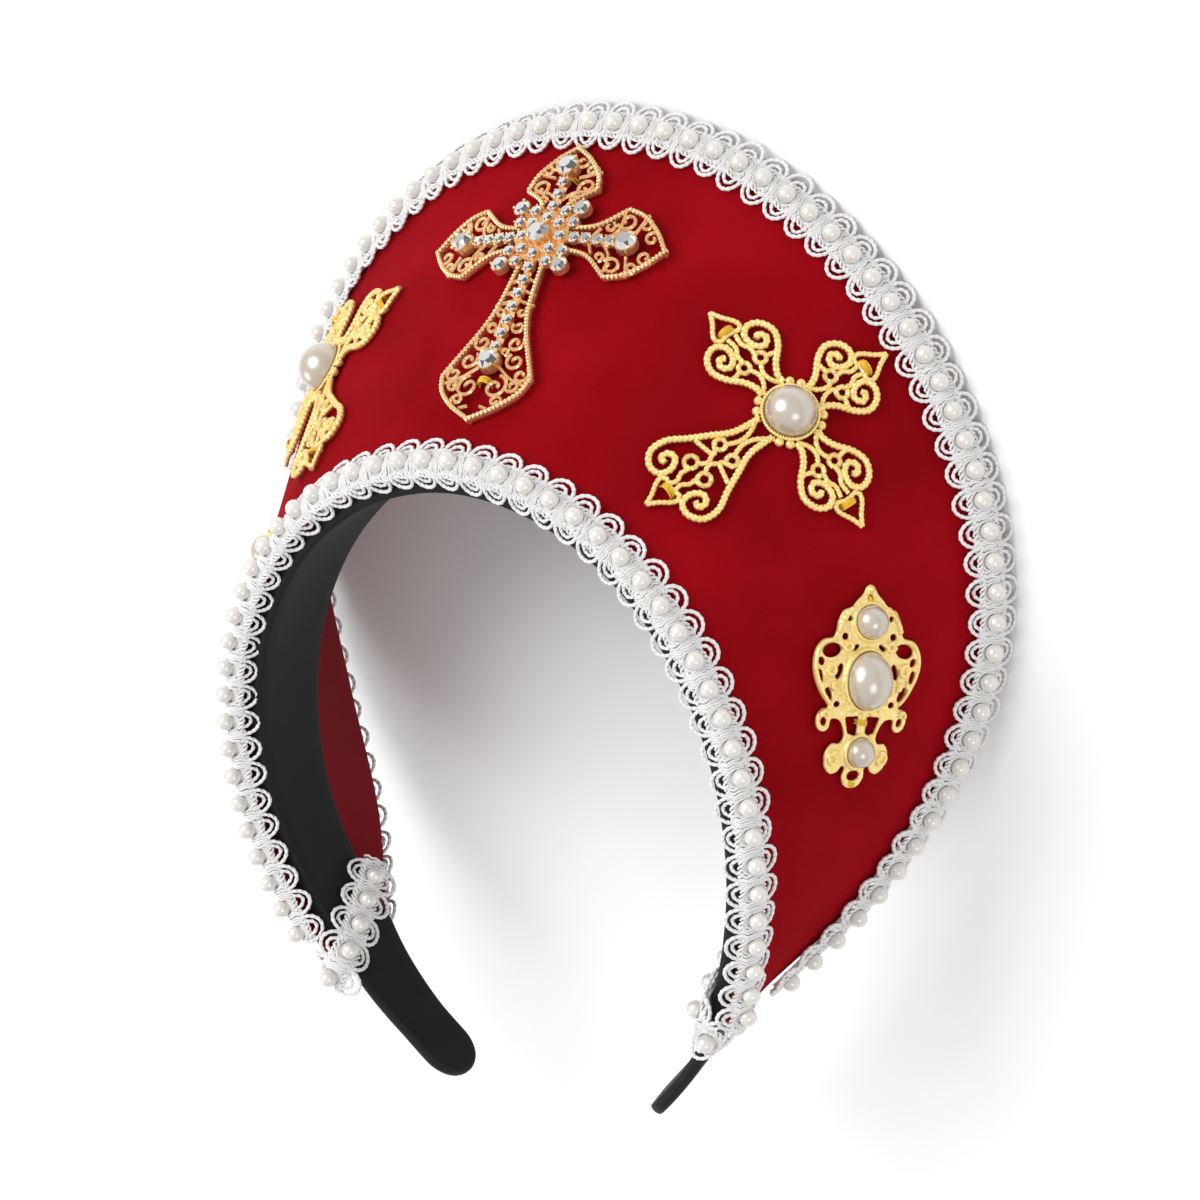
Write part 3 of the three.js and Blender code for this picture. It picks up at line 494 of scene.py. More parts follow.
def pinned(u, v, turn):
    """Lays a brooch from its pin at (u, v), turned from the ray of cloth there"""
    def lay(flat):
        here_u = np.full(len(flat), float(u))
        here_v = np.full(len(flat), float(v))
        up = unit(slope_v(here_u))
        side = unit(np.cross(up, outward(here_u, here_v)))
        right = side * math.cos(turn) + up * math.sin(turn)
        top = up * math.cos(turn) - side * math.sin(turn)
        stride = (right * flat[:, :1] + top * flat[:, 1:2]) / WALK_STEPS
        reach = np.linalg.norm(stride, axis=-1, keepdims=True)
        for _ in range(WALK_STEPS):
            du, dv = slope_u(here_u, here_v), slope_v(here_u)
            e, f, g = dot(du, du), dot(du, dv), dot(dv, dv)
            p, q = dot(stride, du), dot(stride, dv)
            here_u += ((g * p - f * q) / (e * g - f * f))[:, 0]
            here_v += ((e * q - f * p) / (e * g - f * f))[:, 0]
            normal = outward(here_u, here_v)
            stride -= normal * dot(stride, normal)
            stride *= reach / np.maximum(np.linalg.norm(stride, axis=-1, keepdims=True), 1e-9)
        return over_velvet(here_u, here_v, flat[:, 2])
    return lay


print("a brooch walks to its place in", WALK_STEPS, "steps")

# %% [markdown]
# The braid is sewn on by its length: a thread's place is so many millimetres from the crown
# along the seam. The pearls' height counts for that length, because they must stay evenly
# spaced. Layers are stacked in millimetres: band, lining, velvet, braid and pearls.

# %% The layers and the length of a seam
VELVET_WALL = 1.6
LINING_WALL = 1.0
SEAM_GAP = 0.4
BAND_WALL = 3.0
BAND_SET = VELVET_WALL + SEAM_GAP + LINING_WALL + SEAM_GAP
BRAID_WALL = 1.2
PEARL_RADIUS = 2.0
PEARL_SEAT = 0.6
PEARL_HEIGHT = SEAM_GAP + BRAID_WALL + PEARL_SEAT * PEARL_RADIUS
SEAM_STEPS = 401


def seam_length(v):
    u = np.linspace(0, 1, SEAM_STEPS)
    steps = np.diff(over_velvet(u, np.full(len(u), float(v)), PEARL_HEIGHT), axis=0)
    return u, np.concatenate([[0], np.cumsum(np.linalg.norm(steps, axis=1))])


for seam_name, seam_v in (("hoop", 0), ("rim", 1)):
    print(seam_name, "seam:", seam_length(seam_v)[1][-1].round(1), "mm from crown to end")

# %% [markdown]
# A braid wider than its seam hangs past the velvet's edge and folds round it. It hugs the
# edge more tightly on the wearer's right, where it is also drawn a little over the edge, so
# these are written as functions of the place u. The fold itself is an arc and then a straight
# piece, laid out in the plane across the seam.

# %% Laying a braid along a seam
FOLD_START = 0.8
FOLD_PIVOT = -0.8
FOLD_LAYER = 1.2
HOOP_TURN = 69.0
HOOP_TURN_CHANGE = 33.0
HOOP_TURN_SPAN = 0.5
HOOP_SHIFT = 2.4
SHIFT_START = 0.2
SHIFT_SPAN = 0.5
RIM_TURN = 70.0
RIM_TURN_START = 0.35
RIM_TURN_SPAN = 0.3


def hoop_fold(u):
    """The turn at the hoop, larger on the wearer's right"""
    return np.radians(HOOP_TURN - HOOP_TURN_CHANGE * np.clip(u / HOOP_TURN_SPAN, -1, 1))


def hoop_shift(u):
    """How far the braid is drawn over the hoop's edge: only on the wearer's right"""
    return HOOP_SHIFT * np.clip((-u - SHIFT_START) / SHIFT_SPAN, 0, 1)


def rim_fold(u):
    """The braid at the rim lies flat, but hugs the edge low on the wearer's right"""
    return np.radians(RIM_TURN) * np.clip((-u - RIM_TURN_START) / RIM_TURN_SPAN, 0, 1)


def folded_over(past, height, turn):
    """Bends what reaches past the seam round the velvet's edge"""
    spare = np.maximum(0, past - FOLD_START)
    radius = FOLD_LAYER - FOLD_PIVOT
    angle = np.minimum(turn, spare / radius)
    straight = spare - angle * radius
    arm = height - FOLD_PIVOT
    bent_past = FOLD_START + arm * np.sin(angle) + straight * np.cos(angle)
    bent_height = FOLD_PIVOT + arm * np.cos(angle) - straight * np.sin(angle)
    return np.where(spare > 0, bent_past, past), np.where(spare > 0, bent_height, height)


def sewn_along(v, fold, shift=np.zeros_like):
    """Lays a braid along the seam at v: length from the crown, across, height"""
    table_u, table_length = seam_length(v)
    outside = 1 if v > 0.5 else -1

    def lay(flat):
        along, across, height = flat.T
        u = np.sign(along) * np.interp(np.abs(along), table_length, table_u)
        seam = np.full(len(u), float(v))
        past, height = folded_over(outside * across + shift(u), height, fold(u))
        aside = unit(np.cross(outward(u, seam), slope_u(u, seam)))
        return over_velvet(u, seam, height) + outside * past[:, None] * aside
    return lay


print("hoop fold at both ends and the crown:", np.degrees(hoop_fold(np.array([-1, 0, 1]))).round(0))

# %% [markdown]
# At both ends the braid is turned in and crosses the band's inner face slantwise. Its place
# there is counted in widths of the band and in millimetres up from the crescent's end. Below
# that end the band curls inwards, and in front of its edge the braid wraps round it.

# %% Laying the braid's ends inside the band
BRAID_HALF = 6.2
TAIL_RISE = 10.5
TAIL_PAST_END = 5.5
TIP_LENGTH = 39.0
TIP_TURN = math.radians(25)
WRAP_LAYER = 4.0
WRAP_LIMIT = 0.95 * math.pi
LAST_SHARE = 0.1


def folded_inside(side):
    """Lays a braid's end slantwise on the band's inner face, wrapped round its front edge"""
    slant = math.atan2(TAIL_RISE, BAND_END_WIDTH)
    band_run = np.linalg.norm(hoop_at(END) - hoop_at((1 - LAST_SHARE) * END)) / LAST_SHARE

    def lay(flat):
        along, across, height = flat.T
        width = BAND_END_WIDTH / 2 + along * math.cos(slant) - across * math.sin(slant)
        rise = TAIL_RISE / 2 + BRAID_HALF - TAIL_PAST_END
        rise = rise + along * math.sin(slant) + across * math.cos(slant)
        u = np.minimum(1, 1 - rise / band_run)
        past = np.maximum(0, -rise)[:, None]
        inset = TIP_TURN * (past ** 2 / TIP_LENGTH - past ** 3 / (3 * TIP_LENGTH ** 2))
        heading, inward, back, depth = band_axes(u)
        level = BAND_WALL + height
        wrap = np.minimum(WRAP_LIMIT, np.maximum(0, -width) / WRAP_LAYER)
        width, level = np.where(width < 0, -level * np.sin(wrap), width), level * np.cos(wrap)
        points = hoop_at(u) + inward * (BAND_SET + inset) + heading * past
        points = points + back * width[:, None] + depth * level[:, None]
        return points * (side, 1, 1)
    return lay


print("the braid's ends slant by", round(math.degrees(math.atan2(TAIL_RISE, BAND_END_WIDTH))), "degrees")

# %% [markdown]
# A few helpers do what a modeller does by hand over and over: join things, copy a shape to
# many places, draw a wire along a path, and put a finished piece on the hood. A wire is a
# curve with a small outline drawn round it. A two-strand cord has an outline with two bulges,
# and the curve's tilt twists it.


# %% Helpers for modelling
def select_only(objects):
    bpy.ops.object.select_all(action="DESELECT")
    for made in objects:
        made.select_set(True)
    bpy.context.view_layer.objects.active = objects[0]


def joined(objects):
    """One object with its place in its mesh"""
    select_only(objects)
    if len(objects) > 1:
        bpy.ops.object.join()
    made = bpy.context.object
    bpy.ops.object.transform_apply(location=True, rotation=True, scale=True)
    return made


def copies(template, places):
    """The template at each (x, y, height, size, turn), joined into one object"""
    made = []
    for x, y, height, size, turn in places:
        copy = template.copy()
        copy.data = template.data.copy()
        bpy.context.collection.objects.link(copy)
        copy.matrix_world = Matrix.LocRotScale(
            Vector((x, y, height)), Euler((0, 0, turn)), Vector((size, size, size)))
        made.append(copy)
    bpy.data.objects.remove(template)
    return joined(made)


def finely_stepped(points, step):
    """The same open path with points no more than a step apart, so that a twist keeps its form"""
    points = np.asarray(points, float)
    lengths = np.concatenate([[0], np.cumsum(np.linalg.norm(np.diff(points, axis=0), axis=1))])
    places = np.linspace(0, lengths[-1], max(len(points), math.ceil(lengths[-1] / step) + 1))
    return np.column_stack([np.interp(places, lengths, values) for values in points.T])


def wires(paths, radius, lay=0.0, sides=6, flatten=1.0, lobes=0.14, step=0.0):
    """Bars along paths, each (points, closed)

    A lay twists them like two-strand cord. Fine twists need paths with a short step.
    """
    outline = bpy.data.curves.new("outline", "CURVE")
    ring = outline.splines.new("POLY")
    ring.points.add(sides - 1)
    for k, point in enumerate(ring.points):
        angle = -2 * math.pi * k / sides
        reach = radius * (1 - lobes + lobes * math.cos(2 * angle)) if lay else radius
        point.co = (reach * math.cos(angle), flatten * reach * math.sin(angle), 0, 1)
    ring.use_cyclic_u = True
    outline_object = bpy.data.objects.new("outline", outline)
    curve = bpy.data.curves.new("wires", "CURVE")
    curve.dimensions = "3D"
    curve.twist_mode = "Z_UP"
    curve.bevel_mode = "OBJECT"
    curve.bevel_object = outline_object
    curve.use_fill_caps = True
    for points, closed in paths:
        if step and not closed:
            points = finely_stepped(points, step)
        spline = curve.splines.new("POLY")
        spline.points.add(len(points) - 1)
        spline.points.foreach_set("co", np.column_stack([points, np.ones(len(points))]).ravel())
        spline.use_cyclic_u = closed
        if lay:
            steps = np.linalg.norm(np.diff(points, axis=0), axis=1)
            tilts = 2 * math.pi * np.concatenate([[0], np.cumsum(steps)]) / lay
            spline.points.foreach_set("tilt", tilts)
    made = bpy.data.objects.new("wires", curve)
    bpy.context.collection.objects.link(made)
    bpy.context.collection.objects.link(outline_object)
    select_only([made])
    bpy.ops.object.convert(target="MESH")
    bpy.data.objects.remove(outline_object)
    bpy.data.curves.remove(outline)
    return bpy.context.object


def flat_points(made):
    """A piece's points as rows of x, y and z"""
    points = np.empty(len(made.data.vertices) * 3)
    made.data.vertices.foreach_get("co", points)
    return points.reshape(-1, 3)


def laid(made, lay, mirrored=False):
    """Moves a flat piece's points, in millimetres, to their places on the hood, in metres"""
    flip = np.array([-1, 1, 1]) if mirrored else np.array([1, 1, 1])
    corner = np.array([[0, 0, 1], [0.1, 0, 1], [0, 0.1, 1], [0, 0, 1.1]], float)
    base, *ends = lay(corner) * flip
    turned_over = np.linalg.det([end - base for end in ends]) < 0
    points = in_room(lay(flat_points(made)) * flip)
    points[:, 2] = np.maximum(points[:, 2], 0)
    made.data.vertices.foreach_set("co", points.ravel())
    if turned_over:
        made.data.flip_normals()
    made.data.update()
    return made


def finished(made, name, finish, slot, *nodes, angle=35):
    """Names a piece, gives it its finish and hides the solids it stands for"""
    made.name = name
    made.data.name = name
    made.data.materials.clear()
    made.data.materials.append(finish)
    select_only([made])
    bpy.ops.object.shade_smooth_by_angle(angle=math.radians(angle))
    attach(made, "root")
    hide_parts(*nodes)
    triangles = sum(len(face.vertices) - 2 for face in made.data.polygons)
    print(f"{name}: {triangles} triangles")
    return made


def modified(made, kind, **settings):
    """Adds a modifier and applies it"""
    select_only([made])
    modifier = made.modifiers.new(kind.title(), kind)
    for key, value in settings.items():
        setattr(modifier, key, value)
    bpy.ops.object.modifier_apply(modifier=modifier.name)
    return made


# %% [markdown]
# The velvet panel is a thin wall. A grid is bent to the crescent, Solidify gives it its
# thickness and Bevel rolls the cloth round the card's edge. Hand-stretched velvet isn't
# perfect, so a few slow waves lift it by a tenth of a millimetre or two. The lining is the
# same cut, one layer further back.

# %% The velvet panel and its lining
PANEL_COLUMNS = 230
PANEL_ROWS = 34
EDGE_ROLL = 0.5
LINING_HEM = -3.0
WAVE_ROOM = 0.12
CLOTH_WAVES = [
    # waves along u, waves along v, shift, height in millimetres
    (7.0, 1.0, 0.4, 0.11),
    (13.0, 2.2, 1.9, 0.07),
    (23.0, 3.1, 4.0, 0.035),
]


def crescent_sheet(depth, wall, waves, hoop_hem=HOOP_HEM):
    """A cloth on the crescent: its outer face lies at the depth, its wall goes on from there"""
    bpy.ops.mesh.primitive_grid_add(x_subdivisions=PANEL_COLUMNS, y_subdivisions=PANEL_ROWS, size=2)
    sheet = bpy.context.object
    flat = flat_points(sheet)
    u, share = flat[:, 0], (flat[:, 1] + 1) / 2
    width = np.linalg.norm(slope_v(u), axis=1)
    v = (share * (width + hoop_hem + RIM_HEM) - hoop_hem) / width
    lift = sum(
        height * np.sin(math.pi * along * u + shift) * np.sin(math.pi * across * v + shift)
        for along, across, shift, height in waves)
    points = in_room(over_velvet(u, v, lift - depth))
    sheet.data.vertices.foreach_set("co", points.ravel())
    sheet.data.update()
    modified(sheet, "SOLIDIFY", thickness=wall * MM, offset=-1.0, use_even_offset=True)
    modified(sheet, "BEVEL", width=EDGE_ROLL * MM, segments=3, limit_method="ANGLE",
             angle_limit=math.radians(60))
    return sheet


panel = crescent_sheet(WAVE_ROOM, VELVET_WALL - WAVE_ROOM, CLOTH_WAVES)
finished(panel, "velvet_cover", VELVET, "velvet", "velvet_panel")
lining = crescent_sheet(VELVET_WALL + SEAM_GAP, LINING_WALL, [], hoop_hem=LINING_HEM)
finished(lining, "lining_cloth", LINING, "lining", "back_lining")

# %% [markdown]
# The head band is a springy core in a tube of satin. Its section is a flat strip with half
# round edges. A grid is wrapped round that section and carried along the hoop, and past the
# crescent the two bare ends curl in and close in a round nose.

# %% The head band
BAND_CROWN_WIDTH = 27.0
BAND_TAPER = 1.6
BAND_EDGE = 1.0
BAND_ROLL = 1.4
ROLL_WIDTH = 2.0
TIP_WIDTH = 12.5
TIP_TAPER_END = 0.6
TIP_ROUND_START = 0.8
TIP_SPACING = 1.8
NOSE_DEPTH = 0.97
EDGE_POINTS = 7
FACE_POINTS = 7
BAND_STATIONS = 150
TIP_STATIONS = 36


def strip_outline():
    """The band's section: (side, edge out, face) with side from 0 to 1 over the flat part"""
    flat = np.linspace(0, 1, FACE_POINTS)
    bend = np.linspace(-math.pi / 2, math.pi / 2, EDGE_POINTS + 2)[1:-1]
    front = [(x, 0.0, -1.0) for x in flat]
    far = [(1.0, math.cos(a), math.sin(a)) for a in bend]
    back = [(x, 0.0, 1.0) for x in flat[::-1]]
    near = [(0.0, -math.cos(a), -math.sin(a)) for a in bend]
    return np.array(front + far + back + near)


def band_stations():
    """Corner, across, depth, width and wall of the band at each station, end to end"""
    u = np.linspace(-1, 1, BAND_STATIONS + 1)
    _, inward, across, depth = band_axes(u)
    corner = hoop_at(u) + inward * BAND_SET
    width = BAND_CROWN_WIDTH + (BAND_END_WIDTH - BAND_CROWN_WIDTH) * np.abs(u) ** BAND_TAPER
    middle = (corner, across, depth, width, width, np.full(len(u), BAND_WALL))
    end = tip_stations()
    sides = []
    for mirror in (-1, 1):
        rows = [value * (mirror, 1, 1) for value in end[:3]] + list(end[3:])
        sides.append([value[::mirror] for value in rows])
    return [np.concatenate(values) for values in zip(sides[0], middle, sides[1])]


def tip_stations():
    """The same for one bare end, which curls in and narrows to its nose"""
    along, inward, _, _ = (value[0] for value in band_axes(END))
    share = 1 - (1 - np.linspace(0, 1, TIP_STATIONS + 1)[1:]) ** TIP_SPACING
    steps = np.diff(share, prepend=0.0)
    middle = share - steps / 2
    turn = (TIP_TURN * (1 - (1 - middle) ** 2))[:, None]
    path = np.cumsum(steps[:, None] * TIP_LENGTH * (along * np.cos(turn) + inward * np.sin(turn)), axis=0)
    corner = hoop_at(END) + inward * BAND_SET + path
    heading = (TIP_TURN * (1 - (1 - share) ** 2))[:, None]
    facing = inward * np.cos(heading) - along * np.sin(heading)
    across = BACKWARD * math.cos(BAND_TUCK) + facing * math.sin(BAND_TUCK)
    depth = facing * math.cos(BAND_TUCK) - BACKWARD * math.sin(BAND_TUCK)
    taper = np.minimum(1, share / TIP_TAPER_END)
    full = BAND_END_WIDTH + (TIP_WIDTH - BAND_END_WIDTH) * taper
    nose = np.maximum(0, share - TIP_ROUND_START) / (1 - TIP_ROUND_START)
    width = full * np.sqrt(1 - NOSE_DEPTH * nose ** 2)
    wall = BAND_WALL * np.sqrt(1 - 0.8 * np.maximum(0, (share - 0.95) / 0.05) ** 2)
    return corner, across, depth, width, np.full(len(share), BAND_END_WIDTH), wall


def head_band():
    """The closed tube of satin from end to end"""
    corner, across, depth, width, full, wall = band_stations()
    outline = strip_outline()
    bpy.ops.mesh.primitive_grid_add(
        x_subdivisions=len(corner) - 1, y_subdivisions=len(outline), size=2)
    band = bpy.context.object
    flat = flat_points(band)
    row = np.rint((flat[:, 0] + 1) / 2 * (len(corner) - 1)).astype(int)
    turn = np.rint((flat[:, 1] + 1) / 2 * len(outline)).astype(int) % len(outline)
    side, edge, face = outline[turn].T
    rolled = np.minimum(BAND_EDGE, width[row] / 3)
    place = (full - width)[row] / 2 + rolled * (1 + edge) + side * (width[row] - 2 * rolled)
    height = BAND_WALL / 2 + wall[row] / 2 * face
    under_cloth = (row >= TIP_STATIONS) & (row <= TIP_STATIONS + BAND_STATIONS) & (face < 0)
    height -= np.where(under_cloth, BAND_ROLL * np.clip(1 - place / ROLL_WIDTH, 0, 1), 0)
    points = corner[row] + across[row] * place[:, None] + depth[row] * height[:, None]
    band.data.vertices.foreach_set("co", in_room(points).ravel())
    bpy.ops.object.mode_set(mode="EDIT")
    bpy.ops.mesh.select_all(action="SELECT")
    bpy.ops.mesh.remove_doubles(threshold=1e-6)
    bpy.ops.mesh.fill_holes(sides=0)
    bpy.ops.mesh.normals_make_consistent(inside=False)
    bpy.ops.object.mode_set(mode="OBJECT")
    return band


finished(head_band(), "satin_band", SATIN, "satin", "headband", angle=60)

# %% [markdown]
# The braid is crocheted: a narrow knitted body, a row of pearls sewn on it, and on each side
# two loops of cord for every pearl. It is drawn flat and straight, one pitch after the other,
# with small seeded differences, because hand-sewn loops never lie alike. Only then is it laid
# along its seam. Each kind of thread is a function that gives its paths.

# %% The threads of the braid
PEARL_PITCH = 6.67
LOOP_FOOT = 2.7
LOOPS = [
    # half width, reach, height, cord radius
    (2.95, 3.45, 1.25, 0.5),
    (1.6, 2.0, 1.15, 0.46),
]
CORD_LAY = 2.6
LOOP_POINTS = 26
LOOP_OVERLAP = 0.35
LOOP_CHANCE = (0.16, 0.05, 0.12)
BODY_HALF = 2.9
BODY_THREADS = 5
THREAD_GAP = 0.62
CHAIN_STEP = 0.42
CHAIN_WAVE = 2.3
chance = np.random.default_rng(7)


def loop_paths(middle, loop):
    half, reach, height, _ = loop
    paths = []
    for side in (-1, 1):
        angle = np.linspace(-LOOP_OVERLAP, math.pi + LOOP_OVERLAP, LOOP_POINTS)
        shift, stretch, lift = chance.normal(0, LOOP_CHANCE)
        paths.append((np.column_stack([
            middle + shift + half * np.cos(angle),
            side * (LOOP_FOOT + reach * (1 + stretch) * np.sin(angle)),
            height + lift * np.sin(angle) + 0.25 * np.cos(2 * angle),
        ]), False))
    return paths


def body_paths(middle):
    """Threads that cross the body between two pearls, and a ring of thread round the pearl"""
    paths = []
    gap = middle + PEARL_PITCH / 2
    reach = BODY_HALF + 0.5
    for k in range(-(BODY_THREADS // 2), BODY_THREADS // 2 + 1):
        across = np.linspace(-reach, reach, 9)
        lean = chance.normal(0, 0.18)
        paths.append((np.column_stack([
            gap + THREAD_GAP * k + lean * across / BODY_HALF + 0.25 * np.sin(3 * across),
            across,
            1.45 + 0.95 * np.cos(across / reach * math.pi / 2) - 0.08 * abs(k),
        ]), False))
    angle = np.linspace(0, 2 * math.pi, 15)[:-1]
    reach = PEARL_RADIUS + 0.25
    paths.append((np.column_stack([
        middle + reach * np.cos(angle), reach * np.sin(angle), 1.75 + 0.3 * np.cos(2 * angle),
    ]), True))
    return paths


def chain_paths(first, last):
    """Four wavy threads along the body, two on each side, that cross again and again"""
    along = np.arange(first, last, CHAIN_STEP)
    paths = []
    for side in (-1, 1):
        for phase in (0, math.pi):
            wave = 2 * math.pi * along / CHAIN_WAVE + phase
            across = side * (BODY_HALF - 0.35 + 0.5 * np.sin(wave) - 0.25 * np.cos(
                2 * math.pi * along / PEARL_PITCH))
            paths.append((np.column_stack([along, across, 1.4 + 0.35 * np.cos(wave)]), False))
    return paths


print("two loops of", [loop[:2] for loop in LOOPS], "mm for every", PEARL_PITCH, "mm")

# %% [markdown]
# The knitted body is a thin tape, a grid whose edge swells between the pearls and which the
# solidify modifier makes thick. The pearls are whole spheres. They are copied to their places
# in the room and not bent with the braid, since a bend would make eggs of them.

# %% The tape and the pearls
TAPE_STEPS = 8
TAPE_SWELL = 0.45
TAPE_WALL = 0.6
PEARL_SEGMENTS = 18
PEARL_RINGS = 12


def braid_body(first, last):
    """The knitted tape under the pearls, wider between them"""
    count = int((last - first) / PEARL_PITCH * TAPE_STEPS)
    bpy.ops.mesh.primitive_grid_add(x_subdivisions=count, y_subdivisions=6, size=2)
    tape = bpy.context.object
    flat = flat_points(tape)
    along = first + (last - first) * (flat[:, 0] + 1) / 2
    pitches = (along - first) / PEARL_PITCH
    half = BODY_HALF + 0.1 - TAPE_SWELL * np.cos(2 * math.pi * pitches + math.pi)
    height = 1.15 + 0.35 * np.cos(flat[:, 1] * math.pi / 2)
    points = np.column_stack([along, flat[:, 1] * half, height])
    tape.data.vertices.foreach_set("co", points.ravel())
    tape.data.update()
    return modified(tape, "SOLIDIFY", thickness=TAPE_WALL, offset=-1.0)


def pearl_row(middles, lay, mirrored):
    """Round pearls, set at their places in the room so that no bend spoils them"""
    flat = np.array([(s, 0, PEARL_HEIGHT) for s in middles])
    centres = in_room(lay(flat) * ((-1, 1, 1) if mirrored else (1, 1, 1)))
    bpy.ops.mesh.primitive_uv_sphere_add(
        segments=PEARL_SEGMENTS, ring_count=PEARL_RINGS, radius=PEARL_RADIUS * MM)
    turns = chance.uniform(0, 2 * math.pi, len(middles))
    return copies(bpy.context.object, [(*c, 1, t) for c, t in zip(centres, turns)])


print("a pearl's middle lies", PEARL_HEIGHT, "mm over the velvet")

# %% [markdown]
# Now the braid is sewn on: once round the hoop, once round the rim, and a short end on either
# side of the band. All threads of one braid are joined to one piece of lace and then laid
# along the seam together. The rows of pearls start at the crown with a part of a pitch, as
# they happen to lie on the real hood.

# %% Sewing the braids on
THREAD = 0.3
HOOP_PHASE = 0.32
RIM_PHASE = 0.4
TAIL_PEARLS = 4
WRAP_PEARLS = 1


def sew_braid(name, middles, lay, node, mirrored=False):
    first = middles[0] - PEARL_PITCH / 2
    last = middles[-1] + PEARL_PITCH / 2
    parts = [braid_body(first, last), wires(chain_paths(first, last), THREAD, sides=4)]
    for loop in LOOPS:
        paths = [path for s in middles for path in loop_paths(s, loop)]
        parts.append(wires(paths, loop[3], lay=CORD_LAY))
    parts.append(wires([path for s in middles for path in body_paths(s)], THREAD, sides=4))
    lace = laid(joined(parts), lay, mirrored)
    finished(lace, name + "_lace", WHITE_THREAD, "lace", node, angle=80)
    pearls = pearl_row(middles, lay, mirrored)
    finished(pearls, name + "_pearls", SMALL_PEARL, "pearl", node, angle=80)


def seam_middles(v, phase):
    room = seam_length(v)[1][-1]
    count = math.ceil(room / PEARL_PITCH)
    middles = [(k + phase) * PEARL_PITCH for k in range(-count, count + 1)]
    return [s for s in middles if abs(s) + PEARL_PITCH / 2 < room]


tail_places = range(-WRAP_PEARLS, TAIL_PEARLS)
tail_middles = [(k + 0.5 - TAIL_PEARLS / 2) * PEARL_PITCH for k in tail_places]
sew_braid("inner_braid", seam_middles(0, HOOP_PHASE), sewn_along(0, hoop_fold, hoop_shift),
          "inner_pearl_trim")
sew_braid("outer_braid", seam_middles(1, RIM_PHASE), sewn_along(1, rim_fold), "outer_pearl_trim")
for side_name, side in (("left", 1), ("right", -1)):
    sew_braid("tail_" + side_name, tail_middles, folded_inside(side), "trim_tail_" + side_name)

# %% [markdown]
# The brooches hang together from a few kinds of shape: a wire along smooth knots, a wire that
# coils up into a scroll, a ring, a half pearl and a stitch of floss that holds the brooch to
# the velvet. Arms are drawn once, pointing along their own length, and turned to their
# quarter of the cross. Heights count from the velvet.

# %% Shapes that the brooches share
CAST_LIFT = 0.7
FILIGREE_TOP = 1.9
PEARL_BASE = 2.2
COIL_SHARE = 0.78
FLOSS = 0.17
CROSS_FLOSS = 0.2


def through(knots, height, count=40, closed=False):
    """A smooth path through (x, y) knots at one height"""
    knots = np.array(knots, float)
    if closed:
        rows = np.vstack([knots[-1], knots, knots[:2]])
        share = np.linspace(1, len(knots) + 1, count + 1)[:-1] / (len(rows) - 1)
        line = smooth_line(rows, share)
    else:
        line = smooth_line(knots, np.linspace(0, 1, count))
    return np.column_stack([line, np.full(len(line), float(height))]), closed


def scroll(x, y, radius, start, turn, height, count=22):
    """A path that coils from its radius at the start angle in towards the middle"""
    share = np.linspace(0, 1, count)
    angle = start + turn * share
    reach = radius * (1 - COIL_SHARE * share)
    points = [x + reach * np.cos(angle), y + reach * np.sin(angle), np.full(count, float(height))]
    return np.column_stack(points), False


def ring(x, y, radius, height, stretch=1.0, count=20):
    angle = np.linspace(0, 2 * math.pi, count + 1)[:-1]
    points = [x + radius * np.cos(angle), y + stretch * radius * np.sin(angle)]
    return np.column_stack(points + [np.full(count, float(height))]), True


def on_arm(quarter, path):
    """Turns a path drawn along an arm to the arm's quarter"""
    points, closed = path
    angle = math.pi / 2 * quarter
    c, s = math.cos(angle), math.sin(angle)
    x, y, height = points.T
    return np.column_stack([x * c - y * s, x * s + y * c, height]), closed


def both(paths):
    """The paths and their mirror copies on the other side of the arm"""
    return paths + [(points * (1, -1, 1), closed) for points, closed in paths]


def half_pearl(x, y, radius, stretch=1.0):
    bpy.ops.mesh.primitive_uv_sphere_add(segments=40, ring_count=24, radius=radius)
    made = bpy.context.object
    points = flat_points(made) * (1, stretch, 1.08)
    points[:, 2] = np.where(points[:, 2] < 0, 0.05 * points[:, 2], points[:, 2])
    made.data.vertices.foreach_set("co", (points + (x, y, PEARL_BASE)).ravel())
    return made


def stitch_paths(x, y, angle, reach, top, strands=5, spread=0.28):
    """Strands of floss from the velvet, over the metal and back into the velvet"""
    paths = []
    for k in range(strands):
        t = np.linspace(-1, 1, 11)
        along = reach * t + chance.normal(0, 0.1)
        beside = (k - (strands - 1) / 2) * spread + chance.normal(0, 0.08) * t
        height = -0.2 + (top + 0.3 * chance.random()) * np.sqrt(1 - 0.98 * t ** 2)
        c, s = math.cos(angle), math.sin(angle)
        points = [x + along * c - beside * s, y + along * s + beside * c, height]
        paths.append((np.column_stack(points), False))
    return paths


# %% [markdown]
# The centre cross is cast, and its edge is milgrain, a row of tiny beads that a jeweller
# rolls along a rim. A twisted cord with a short lay reads just so. Under it stands the plain
# side wall, inside it the scrolls, and on the middle bar sit the stones in cups.

